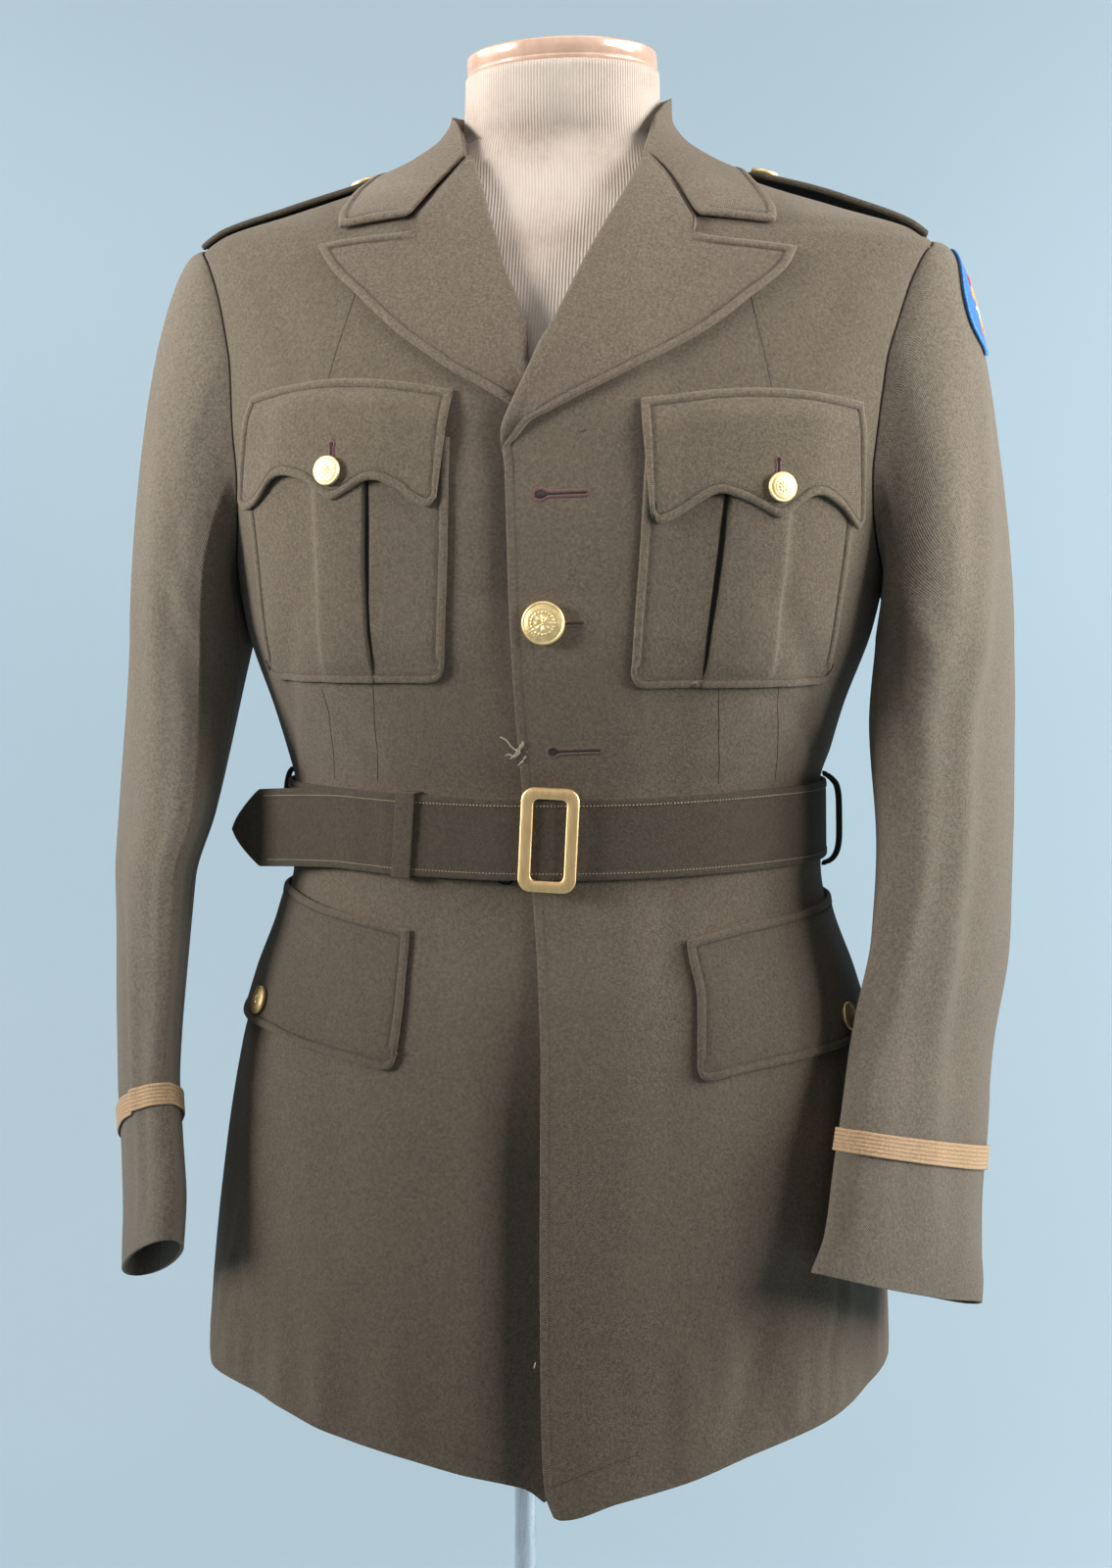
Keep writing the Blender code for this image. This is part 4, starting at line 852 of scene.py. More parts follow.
def cloth(name, points, wall, slot, finish, edges=(), welt=0.8, closed=False, bulge=0.15, outward=off_body,
          replaces=(), cut=True, held="draped", rests_on="form_torso", grain=None, away=None, tone=None):
    """A wall of cloth under a grid of outer points, with rounded edges.

    edges names the sides with a padded, stitched edge, or away gives each point's
    distance from it; that edge is paler with wear, with painted shade in its stitch groove.
    The tone added to the shade carries dark seam lines, painted shade and painted
    highlights. The grid's own size is the size that the piece is cut to.
    """
    plain = points = np.asarray(points, dtype=float)
    rows, columns = points.shape[:2]
    normals = grid_normals(points, closed)
    flip = (normals * outward(points)).sum() < 0
    if flip:
        normals = -normals
    wear_and_painted_light = np.zeros((rows, columns))
    if len(edges) or away is not None:
        distance = edge_distance(points, edges) if away is None else away
        points = points + normals * ridge(distance, height=welt)[..., None]
        wear_and_painted_light = ridge_wear_and_shade(distance) * np.asarray(welt) / 0.8
    if tone is not None:
        wear_and_painted_light = wear_and_painted_light + tone
    uv = (grid_uv(plain, closed) if grain is None else grain).reshape(-1, 2)
    front, back = points.reshape(-1, 3), (plain - normals * wall).reshape(-1, 3)
    layers, uvs, wear_and_light_layers, faces = [front, back], [uv, uv], [wear_and_painted_light.ravel(), wear_and_painted_light.ravel() * 0], []

    def quads(*corners):
        block = np.stack([corner.ravel() for corner in corners], -1)
        faces.extend((block[:, ::-1] if flip else block).tolist())

    inner = rows * columns
    index = np.arange(inner).reshape(rows, columns)
    left = index if closed else index[:, :-1]
    right = np.roll(index, -1, axis=1) if closed else index[:, 1:]
    quads(left[:-1], right[:-1], right[1:], left[1:])
    quads(left[:-1] + inner, left[1:] + inner, right[1:] + inner, right[:-1] + inner)
    if closed:
        rims = [(index[0], points[0] - points[1]), (index[-1][::-1], (points[-1] - points[-2])[::-1])]
    else:
        rims = [outline(points, index)]
    count = 2 * inner
    for rim, push in rims:
        normal = normals.reshape(-1, 3)[rim]
        push = unit(push - normal * (push * normal).sum(-1, keepdims=True))
        previous = rim
        for angle in (45, 90, 135):
            drop = (1 - math.cos(math.radians(angle))) / 2
            layers.append(front[rim] - (front[rim] - back[rim]) * drop
                          + push * bulge * math.sin(math.radians(angle)))
            uvs.append(uv[rim])
            wear_and_light_layers.append(np.full(len(rim), RIM_LIP))
            current = np.arange(count, count + len(rim))
            count += len(rim)
            quads(previous, current, np.roll(current, -1), np.roll(previous, -1))
            previous = current
        quads(previous, rim + inner, np.roll(rim + inner, -1), np.roll(previous, -1))
    thing = mesh_object(name, placed(np.concatenate(layers)), faces, finish, np.concatenate(uvs),
                        np.concatenate(wear_and_light_layers), replaces)
    if cut:
        cut_sheet(thing, plain, closed)
    return thing, points


def coat_piece(side, kind, points, wall, finish, edges=(), **more):
    """A piece of the coat in its solid's place, stitched along the edges that are named."""
    name = SIDE_NAMES[side]
    more.setdefault("rests_on", f"coat_front_{name}")
    _, face = cloth(f"coat_{kind}_{name}", points, wall, "coat_wool", finish, edges=edges,
                    replaces=[f"{kind}_{name}"], **more)
    stitch_edge(face, edges)
    return face


# Name, length, width in millimetres and area in square metres of each sheet.
SHEETS = []
# The shade of a wall's own edge, on the scale of the attribute for edge wear and painted light.
RIM_LIP = 0.6


def ridge(distance, width=4.4, height=0.8):
    """The padded edge: a soft welt out to the stitch row, and a groove under the stitches."""
    inside = np.clip(distance / width, 0, 1)
    welt = height * np.sqrt(np.clip(1 - (2 * inside - 1) ** 2, 0, 1)) * (distance < width)
    groove = 0.45 * height * gauss((distance - width - 0.25) / 0.75)
    return welt - groove


# Paler worn cloth out to the edge, and painted shade in the groove under the stitches.
def ridge_wear_and_shade(distance, width=4.4):
    return 0.8 * smooth(width - 1, 1.0, distance) - 0.75 * gauss((distance - width - 0.2) / 0.6)


# ---------------------------------------------------------------- materials

def blank(name, roughness=0.8, metallic=0.0, sheen=0.0, coat=0.0):
    finish = bpy.data.materials.new(name)
    finish.use_nodes = True
    tree = finish.node_tree
    shader = tree.nodes["Principled BSDF"]
    shader.inputs["Roughness"].default_value = roughness
    shader.inputs["Metallic"].default_value = metallic
    if sheen:
        shader.inputs["Sheen Weight"].default_value = sheen
        shader.inputs["Sheen Roughness"].default_value = 0.45
        shader.inputs["Sheen Tint"].default_value = (0.80, 0.72, 0.62, 1)
    if coat:
        shader.inputs["Coat Weight"].default_value = coat
        shader.inputs["Coat Roughness"].default_value = 0.12
    return finish, tree, shader


def feed(socket, value):
    """Sets an input, or links another node's output to it."""
    if isinstance(value, bpy.types.NodeSocket):
        socket.id_data.links.new(value, socket)
    else:
        socket.default_value = value


def node(tree, kind, **values):
    """A node; values that start with in_ are its inputs, with _ for a space."""
    made = tree.nodes.new(kind)
    for key, value in values.items():
        if key.startswith("in_"):
            feed(made.inputs[key[3:].replace("_", " ")], value)
        else:
            setattr(made, key, value)
    return made


def sums(tree, operation, first, second, kind="ShaderNodeMath"):
    made = node(tree, kind, operation=operation)
    feed(made.inputs[0], first)
    feed(made.inputs[1], second)
    return made.outputs[0]


def weighted(tree, *terms, plus=0):
    """The sum of values, each times its own factor."""
    total = None
    for value, factor in terms:
        part = value if factor == 1 else sums(tree, "MULTIPLY", value, factor)
        total = part if total is None else sums(tree, "ADD", total, part)
    return sums(tree, "ADD", total, plus) if plus else total


def noise(tree, place, scale, detail=2.0, rough=0.5):
    return node(tree, "ShaderNodeTexNoise", in_Vector=place, in_Scale=scale, in_Detail=detail,
                in_Roughness=rough).outputs["Fac"]


def wear_and_light_value(tree):
    """The edge wear, painted shade and painted highlights that a mesh carries in its own attribute."""
    return node(tree, "ShaderNodeAttribute", attribute_name="wear_and_painted_light").outputs["Fac"]


def object_place(tree):
    return node(tree, "ShaderNodeTexCoord").outputs["Object"]


def ramp(tree, value, stops):
    made = node(tree, "ShaderNodeValToRGB", in_Fac=value)
    elements = made.color_ramp.elements
    for element, (position, colour) in zip(elements[:], (stops[0], stops[-1])):
        element.position, element.color = position, (*colour, 1)
    for position, colour in stops[1:-1]:
        elements.new(position).color = (*colour, 1)
    return made.outputs[0]


def tinted(tree, colour, factor):
    made = node(tree, "ShaderNodeVectorMath", operation="SCALE", in_Scale=factor)
    feed(made.inputs[0], colour)
    return made.outputs[0]


# Green flecks, plain cloth and red flecks over a noise.
FLECK_TINTS = ((0.30, (0.86, 1.05, 0.92)), (0.44, (1.0, 1.0, 1.0)), (0.58, (1.0, 1.0, 1.0)),
               (0.72, (1.16, 0.93, 0.86)))
# The wave texture's scale that lays ribs 1 mm apart, and how much one step of the mesh's edge wear and
# painted light lightens a cloth.
RIB_SCALE = 314
LIP_SHADE = 0.13


def bumped(tree, shader, value, depth, strength=0.6):
    feed(shader.inputs["Normal"],
         node(tree, "ShaderNodeBump", in_Strength=strength, in_Distance=depth, in_Height=value).outputs[0])


def wool(name, dark, light, sheen=0.16, twill=0.9, lean=0.9, painted_light_by_height=((0.98, 0.86), (1.16, 1.0))):
    """Heathered twill: dark and light fibres, red and green flecks, a fine diagonal rib, a paler worn edge,
    and the painted shade and highlights that the mesh carries.

    The last argument holds two heights in metres and the shade at each: painted light that makes the cloth
    darker lower down.
    """
    finish, tree, shader = blank(name, 0.94, sheen=sheen)
    coordinates = node(tree, "ShaderNodeTexCoord").outputs
    where = coordinates["Object"]
    flat = node(tree, "ShaderNodeMapping", in_Vector=coordinates["UV"], in_Rotation=(0, 0, lean)).outputs[0]
    rib = node(tree, "ShaderNodeTexWave", in_Vector=flat, in_Scale=RIB_SCALE / twill, in_Distortion=1.4,
               in_Detail=2.0, in_Detail_Scale=2.0).outputs["Fac"]
    clumps = noise(tree, where, 640, 2, 0.6)
    grain = weighted(tree, (noise(tree, where, 1500, 2, 0.7), 0.5), (clumps, 0.5),
                     (sums(tree, "SUBTRACT", rib, 0.5), 0.10))
    middle = tuple((a + b) / 2 for a, b in zip(dark, light))
    colour = ramp(tree, grain, ((0.34, dark), (0.5, middle), (0.66, light)))
    fleck = ramp(tree, noise(tree, where, 1050, 1, 0.5), FLECK_TINTS)
    mixed = sums(tree, "MULTIPLY", colour, fleck, "ShaderNodeVectorMath")
    mottle, cloud = noise(tree, where, 100), noise(tree, where, 10)
    shade = weighted(tree, (mottle, 0.14), (cloud, 0.16), plus=0.85)
    shade = weighted(tree, (shade, 1), (wear_and_light_value(tree), LIP_SHADE))
    # Painted light: the cloth's shade is darker lower down, where less light falls.
    height = node(tree, "ShaderNodeSeparateXYZ", in_Vector=where).outputs["Z"]
    (low, low_shade), (high, high_shade) = painted_light_by_height
    painted_height_light = node(tree, "ShaderNodeMapRange", interpolation_type="SMOOTHSTEP", in_Value=height,
                 in_From_Min=low, in_From_Max=high, in_To_Min=low_shade, in_To_Max=high_shade)
    shade = sums(tree, "MULTIPLY", sums(tree, "MAXIMUM", shade, 0.05), painted_height_light.outputs["Result"])
    feed(shader.inputs["Base Color"], tinted(tree, mixed, shade))
    bumped(tree, shader, weighted(tree, (rib, 0.5), (clumps, 1)), 0.0005)
    return finish


def thread(name, dark, light, scale=900.0):
    finish, tree, shader = blank(name, 0.85, sheen=0.15)
    place = object_place(tree)
    colour = ramp(tree, noise(tree, place, scale, 2, 0.6), ((0.35, dark), (0.65, light)))
    shade = weighted(tree, (wear_and_light_value(tree), LIP_SHADE), plus=1.0)
    feed(shader.inputs["Base Color"], tinted(tree, colour, shade))
    bumped(tree, shader, noise(tree, place, scale * 2, 2), 0.0003)
    return finish


def metal(name, dark, light, roughness, scale, stretch=(1, 1, 1), depth=0.0002):
    finish, tree, shader = blank(name, roughness, 1.0)
    drawn = node(tree, "ShaderNodeMapping", in_Vector=object_place(tree), in_Scale=stretch).outputs[0]
    value = noise(tree, drawn, scale, 3, 0.6)
    feed(shader.inputs["Base Color"], ramp(tree, value, ((0.3, dark), (0.7, light))))
    feed(shader.inputs["Roughness"], weighted(tree, (value, 0.22), plus=roughness - 0.11))
    bumped(tree, shader, value, depth, 0.3)
    return finish


def knit_cloth():
    """A ribbed jersey: narrow upright ribs, counted from the centre front."""
    finish, tree, shader = blank("form_knit_ribbed", 0.95, sheen=0.12)
    coordinates = node(tree, "ShaderNodeTexCoord").outputs
    ribs = node(tree, "ShaderNodeTexWave", bands_direction="X", in_Vector=coordinates["UV"],
                in_Scale=RIB_SCALE / 1.75, in_Distortion=0.6, in_Detail=1.0).outputs["Fac"]
    soil = noise(tree, coordinates["Object"], 20, 4, 0.6)
    grain = noise(tree, coordinates["Object"], 900, 2, 0.6)
    colour = ramp(tree, weighted(tree, (soil, 0.8), (grain, 0.2)),
                  ((0.32, (0.38, 0.30, 0.24)), (0.5, (0.48, 0.40, 0.335)), (0.7, (0.53, 0.455, 0.39))))
    feed(shader.inputs["Base Color"], tinted(tree, colour, weighted(tree, (ribs, 0.16), plus=0.86)))
    bumped(tree, shader, weighted(tree, (ribs, 1), (grain, 0.5)), 0.0005, 0.5)
    return finish


def cap_finish():
    finish, tree, shader = blank("cap_plastic_gloss", 0.22, coat=0.4)
    place = object_place(tree)
    colour = ramp(tree, noise(tree, place, 30, 4, 0.65),
                  ((0.3, (0.43, 0.27, 0.185)), (0.55, (0.58, 0.38, 0.28)), (0.75, (0.64, 0.44, 0.335))))
    feed(shader.inputs["Base Color"], colour)
    feed(shader.inputs["Roughness"], weighted(tree, (noise(tree, place, 240, 2), 0.2), plus=0.12))
    return finish


def plain_stage(name, dark, light):
    finish, tree, shader = blank(name, 0.95)
    value = noise(tree, object_place(tree), 1.2, 1)
    feed(shader.inputs["Base Color"], ramp(tree, value, ((0.3, dark), (0.7, light))))
    return finish


WOOL = wool("coat_wool_twill", (0.061, 0.047, 0.031), (0.163, 0.127, 0.088))
# The sleeve wool is a lighter copy of the coat's wool: painted light on the sleeves, growing lighter upwards.
SLEEVE_WOOL_LIT = wool("sleeve_wool_twill_painted_light", (0.072, 0.058, 0.042), (0.182, 0.148, 0.110), 0.2,
                   painted_light_by_height=((0.9, 0.95), (1.3, 1.12)))
LAPEL_WOOL = wool("lapel_wool_twill", (0.069, 0.052, 0.036), (0.177, 0.136, 0.097), 0.2, lean=-0.7)
BELT_WOOL = wool("belt_wool_twill", (0.029, 0.0225, 0.0145), (0.077, 0.059, 0.038), 0.08, twill=1.1,
                 painted_light_by_height=((0.9, 1.0), (1.3, 1.0)))
LOOP_THREAD = thread("loop_thread_dark", (0.010, 0.014, 0.010), (0.030, 0.036, 0.026))
STITCH = thread("edge_thread", (0.040, 0.034, 0.026), (0.085, 0.072, 0.054), 1500.0)
BELT_STITCH = thread("belt_thread_tan", (0.26, 0.20, 0.12), (0.44, 0.35, 0.22), 1500.0)
HOLE_THREAD = thread("hole_thread_red", (0.070, 0.030, 0.027), (0.165, 0.078, 0.070), 1500.0)
HOLE_WORN = thread("hole_thread_worn", (0.068, 0.044, 0.033), (0.135, 0.092, 0.069), 1500.0)
SEAM_SHADE = thread("seam_shade", (0.032, 0.026, 0.019), (0.066, 0.054, 0.040), 1500.0)
# Painted shade: the dark sheet that fills each buttonhole's slit.
SLIT_PAINTED_SHADE = thread("buttonhole_slit_painted_shade", (0.008, 0.007, 0.006), (0.022, 0.018, 0.015), 1500.0)
TUFT = thread("tuft_thread", (0.26, 0.21, 0.14), (0.46, 0.39, 0.28), 1500.0)
KNOT_GREEN = thread("knot_thread_green", (0.010, 0.020, 0.010), (0.035, 0.060, 0.030), 1500.0)
BRAID = thread("braid_gold_tan", (0.33, 0.205, 0.105), (0.47, 0.315, 0.175), 900.0)
PATCH_BLUE = thread("patch_blue", (0.010, 0.085, 0.30), (0.03, 0.18, 0.52), 700.0)
PATCH_BORDER = thread("patch_border_blue", (0.02, 0.13, 0.36), (0.07, 0.27, 0.60), 700.0)
PATCH_PALE = thread("patch_pale", (0.46, 0.46, 0.44), (0.72, 0.71, 0.67), 700.0)
PATCH_ORANGE = thread("patch_orange", (0.62, 0.20, 0.03), (0.88, 0.38, 0.06), 700.0)
PATCH_RED = thread("patch_red", (0.36, 0.02, 0.02), (0.60, 0.05, 0.04), 700.0)
GOLD = metal("button_gold", (0.92, 0.64, 0.26), (1.0, 0.84, 0.48), 0.50, 260.0)
GOLD_SATIN = metal("buckle_gold", (0.88, 0.56, 0.24), (1.0, 0.74, 0.40), 0.46, 300.0, (8, 8, 0.3))
STEEL = metal("stand_steel_satin", (0.56, 0.58, 0.60), (0.78, 0.80, 0.82), 0.26, 500.0, (1, 1, 0.1))
BLACK_WIRE = metal("hook_black", (0.006, 0.006, 0.007), (0.02, 0.02, 0.022), 0.35, 600.0)
KNIT = knit_cloth()
CAP = cap_finish()
BACKDROP = plain_stage("backdrop_pale", (0.54, 0.68, 0.76), (0.57, 0.71, 0.79))


# ---------------------------------------------------------------- body panels

# Where level rows of a panel begin, above rows that follow the hem, and where these are measured from.
SKIRT_TOP = 1096
FRONT_FOOT = 818
BACK_FOOT = 843
# The grid column beside the fronts' edge stitches.
STITCH_COLUMN = 6


def panel_rows(foot_height):
    """Row shares of the skirt, then level heights."""
    skirt = spots(SKIRT_TOP - foot_height, 3.8, True, False) / (SKIRT_TOP - foot_height)
    waist = np.linspace(SKIRT_TOP, ARMHOLE_BOTTOM, 50)[1:]
    middle, half = (ARMHOLE_BOTTOM + SHOULDER_TIP) / 2, (SHOULDER_TIP - ARMHOLE_BOTTOM) / 2
    arm = (middle - half * np.cos(np.linspace(0, math.pi, 60)))[1:]
    return skirt, np.concatenate([waist, arm, np.linspace(SHOULDER_TIP, NECK_POINT, 36)[1:]])


def row_height(skirt, levels, turn):
    """Heights of rows at turns; turn holds one value or one row of values for each row."""
    turn = np.asarray(turn, dtype=float)
    column = (-1,) + (1,) * (turn.ndim - 1)
    foot = HEM_LINE.one(turn[:len(skirt)])
    high = np.broadcast_to(levels.reshape(column), turn[len(skirt):].shape)
    return np.concatenate([mix(foot, SKIRT_TOP, skirt.reshape(column)), high])


def outer_turns(heights, hole):
    """Turns of a panel's outer edge: side seam, armhole, shoulder line."""
    turns = np.where(heights <= ARMHOLE_BOTTOM, SIDE_SEAM, hole.one(heights))
    return np.where(heights >= SHOULDER_TIP, 90, turns)


def gap_turn(height, gap):
    """Half a gap's width as a turn."""
    return np.degrees(gap / 2 / SECTION(height)[..., 1]) + 0.02


def panel_grid(inner, outer, probe, step, fine):
    """Turns of a panel's grid, and each place's distance from its inner edge."""
    start, end = along_at(inner, probe), along_at(outer, probe)
    length = np.abs(end - start)
    count = int(length.max() / step)
    low, first = (FINE[:-1], FINE[-1]) if fine else (FINE[:0], 0.0)
    places = []
    for run in length:
        scale = min(1.0, run / 30)
        places.append(np.concatenate([low * scale, np.linspace(first * scale, run, count)]))
    places = np.array(places)
    along = start[:, None] + np.sign(end - start)[:, None] * places
    return turn_at(along, probe[:, None]), places


def along_grain(points, along):
    """Cloth places with the weave's warp upright."""
    grain = grid_uv(points)
    grain[..., 0] = along * MM
    return grain


def front_panel(side):
    edge = Track(LEFT_EDGE if side == LEFT else RIGHT_EDGE)
    skirt, levels = panel_rows(FRONT_FOOT)
    probe = row_height(skirt, levels, np.zeros(len(skirt) + len(levels)))
    inner = turn_of_x(edge.one(probe) + np.where(probe > 1362, side * 0.8, 0), probe)
    again = turn_of_x(edge.one(row_height(skirt, levels, inner)), probe)
    inner = np.where(np.arange(len(probe)) < len(skirt), again, inner)
    outer = side * (outer_turns(probe, HOLE_FRONT) - gap_turn(probe, SIDE_GAP))
    turns, places = panel_grid(inner, outer, probe, 3.5, True)
    heights = row_height(skirt, levels, turns)
    below_break = smooth(1364, 1356, heights)
    worn_flat = mix(0.35, 1, smooth(1322, 1354, heights))
    along = along_at(turns, heights)
    tone = ridge_wear_and_shade(places) * below_break * worn_flat
    # Painted shadow on the right front, beside and under the left front's edge.
    if side == RIGHT:
        tone = tone - (2.4 * smooth(-30, -12, along) * smooth(1215, 1310, heights)
                       * smooth(1390, 1366, heights))
    out = front_out(side, turns, heights) + ridge(places) * below_break * worn_flat
    points = body_point(turns, heights, out)
    coat_piece(side, "front", points, COAT_WALL, WOOL, bulge=0.3, grain=along_grain(points, along),
               tone=tone, rests_on="form_torso")
    turn, height = turns[:, STITCH_COLUMN], heights[:, STITCH_COLUMN]
    rows = (height < 1350) & (height > 828)
    line = np.array([line_at(STITCH_IN, place, row) for place, row in zip(places, points)])
    stitch_row(line[rows], body_normal(turn, height)[rows])


def back_panel(side):
    skirt, levels = panel_rows(BACK_FOOT)
    probe = row_height(skirt, levels, np.full(len(skirt) + len(levels), side * 120.0))
    inner = side * (180 - gap_turn(probe, SEAM_GAP))
    outer = side * (outer_turns(probe, HOLE_BACK) + gap_turn(probe, SIDE_GAP))
    turns, _ = panel_grid(inner, outer, probe, 4.2, False)
    heights = row_height(skirt, levels, turns)
    along = along_at(turns, heights)
    out = creases(BACK_CREASES, along, heights) * (1 - smooth(1440, 1475, heights))
    points = body_point(turns, heights, out + hem_puckers(turns, along, heights))
    coat_piece(side, "back", points, COAT_WALL, WOOL, bulge=0.3, grain=along_grain(points, along),
               rests_on="form_torso")


# ---------------------------------------------------------------- sleeves

# About how long the cloth is from the armhole to SLEEVE_TOP, and from there to the cuff.
HEAD_LENGTH, ARM_LENGTH = 225, 360
SLEEVE_TRACKS = {side: Track(rows) for side, rows in SLEEVE_SECTIONS.items()}


def armhole_point(side, angle):
    height = (ARMHOLE_BOTTOM + SHOULDER_TIP) / 2 + (SHOULDER_TIP - ARMHOLE_BOTTOM) / 2 * direction(angle)[0]
    turn = np.where(angle % 360 <= 180, HOLE_FRONT.one(height), HOLE_BACK.one(height))
    return base_point(side * turn, height) + np.array([side * SEAM_GAP * 1.6, 0, 0])


def section_point(side, angle, height):
    centre_x, centre_y, thin, wide, twist, tilt = SLEEVE_TRACKS[side].parts(height)
    (cosine, sine), (cos_twist, sin_twist), (cos_tilt, sin_tilt) = map(direction, (angle, twist, tilt))
    across, forward = thin * powered(cosine, 0.9), wide * powered(sine, 0.9)
    return np.stack([centre_x + side * (across * cos_twist + forward * sin_twist),
                     centre_y + across * sin_twist - forward * cos_twist * cos_tilt,
                     height + forward * sin_tilt], -1)


def sleeve_base(side, angle, down):
    """The sleeve's outer surface without its creases."""
    angle, down = floats(angle, down)
    straight = section_point(side, angle, mix(SLEEVE_TOP, CUFF[side], np.maximum(down - 1, 0)))
    start = armhole_point(side, angle)
    end = section_point(side, angle, np.full(angle.shape, float(SLEEVE_TOP)))
    reach = np.linalg.norm(end - start, axis=-1)[..., None]
    topness = (1 + direction(angle)[0]) / 2
    rise = 0.07 * topness - 0.8 * (1 - topness) ** 3
    leave = reach * np.stack([np.full(angle.shape, side * SLEEVE_HEAD[side]), 0 * rise, rise], -1)
    head = hermite(np.minimum(down, 1)[..., None], start, end, leave, reach * np.array([0, 0, -1.0]))
    return np.where(down[..., None] >= 1, straight, head)


def sleeve_normal(side, angle, down):
    around = sleeve_base(side, angle + 1, down) - sleeve_base(side, angle - 1, down)
    lower, upper = np.maximum(down - 0.01, 0), np.minimum(down + 0.01, 2)
    downwards = sleeve_base(side, angle, upper) - sleeve_base(side, angle, lower)
    return side * unit(np.cross(around, downwards))


def sleeve_point(side, angle, down, out=0.0):
    angle, down = floats(angle, down)
    out = np.asarray(out) + sleeve_crease(side, angle, down)
    points = sleeve_base(side, angle, down) + sleeve_normal(side, angle, down) * out[..., None]
    if side == LEFT:
        points[..., 2] += 4.5 * gauss((wrap(angle) + 55) / 45) * smooth(1.7, 2.0, down)
    return points


# On the sleeves, u is the angle round the arm times 1.1 and v the length down, below zero.
SLEEVE_CREASES = {
    LEFT: (
        (-60, -500, 90, 75, 32, -4.6),
        (18, -360, 90, 200, 12, -1.3),
        (36, -330, 89, 210, 9, 1.5),
        (60, -360, 88, 190, 11, -1.0),
        (84, -450, 90, 110, 10, 0.9),
        (104, -250, 74, 60, 11, -1.4),
        (96, -205, 62, 46, 9, 1.0),
        (60, -160, 78, 70, 13, 0.9),
        (118, -420, 96, 70, 12, 1.2),
        (-60, -300, 92, 140, 18, -1.6),
        (-110, -240, 112, 60, 12, -1.5),
    ),
    RIGHT: (
        (30, -200, 91, 120, 10, 0.9),
        (52, -470, 90, 110, 8, 1.4),
        (36, -460, 91, 100, 10, -1.2),
        (74, -400, 90, 140, 12, -0.9),
        (108, -245, 106, 60, 11, -1.5),
        (96, -200, 118, 44, 9, 1.1),
        (56, -170, 100, 70, 13, 0.9),
        (120, -400, 84, 70, 12, 1.2),
        (-62, -300, 88, 140, 18, -1.6),
        (-108, -238, 68, 60, 12, -1.5),
    ),
}

# The pressed edge down a sleeve's front, each row a length down, the angle and the edge's rise.
PRESSED_EDGE = {
    LEFT: ((0, 118, 0), (120, 112, 0), (300, 108, 0.6), (585, 104, 0.8)),
    RIGHT: ((0, 112, 0), (90, 104, 1.6), (170, 98, 3.2), (300, 98, 3.6), (430, 100, 2.4), (585, 100, 1.0)),
}
PRESSED = {side: Track(rows) for side, rows in PRESSED_EDGE.items()}


def sleeve_crease(side, angle, down):
    u = wrap(angle) * 1.1
    fall = HEAD_LENGTH * np.minimum(down, 1) + ARM_LENGTH * np.maximum(down - 1, 0)
    calm = smooth(0.03, 0.35, down) * smooth(2.0, 1.93, down)
    edge = PRESSED[side](fall)
    off = np.abs(wrap(angle) - edge[..., 0])
    pressed = edge[..., 1] * (np.exp(-off / 9) - 0.45 * gauss((off - 24) / 12))
    return (creases(SLEEVE_CREASES[side], u, -fall) + pressed) * calm


def off_sleeve(side):
    """The way out from the arm, for points on one sleeve."""
    def way(points):
        centre = SLEEVE_TRACKS[side](points[..., 2])
        level = 60 * smooth(1380, 1470, points[..., 2])
        return np.stack([points[..., 0] - centre[..., 0] + side * level,
                         points[..., 1] - centre[..., 1], level], -1)
    return way


# Half the gap between the two pieces of a sleeve, in degrees round the arm.
SEAM_TURN = 0.5


def braid_downs(side):
    """Where the braid's upper and lower edges lie down the sleeve."""
    length = SLEEVE_TOP - CUFF[side]
    low = 2 - BRAID_RISE[side] / length
    return low - BRAID_WIDTH / length, low


def sleeve(side):
    front_seam, back_seam = SLEEVE_SEAMS
    head = np.concatenate([np.linspace(0, 0.12, 9)[:-1], np.linspace(0.12, 1, 56)])
    downs = np.concatenate([head, 1 + spots(ARM_LENGTH, 4.0, start=False)[1:] / ARM_LENGTH])[::-1]
    for kind, start, end, count in (("top", back_seam - 360, front_seam, 78),
                                    ("under", front_seam, back_seam, 22)):
        angles = np.linspace(start + SEAM_TURN, end - SEAM_TURN, count)
        if kind == "top":
            pressed = np.linspace(86, min(end, 126) - SEAM_TURN - 0.7, 17)
            angles = np.sort(np.concatenate([angles, pressed]))
        coat_piece(side, f"sleeve_{kind}", sleeve_point(side, angles[None, :], downs[:, None]), COAT_WALL,
                   SLEEVE_WOOL_LIT, bulge=0.25, outward=off_sleeve(side), held="hung")


BRAID_CORDS = 6
BRAID_COLUMNS = 276  # round the cuff


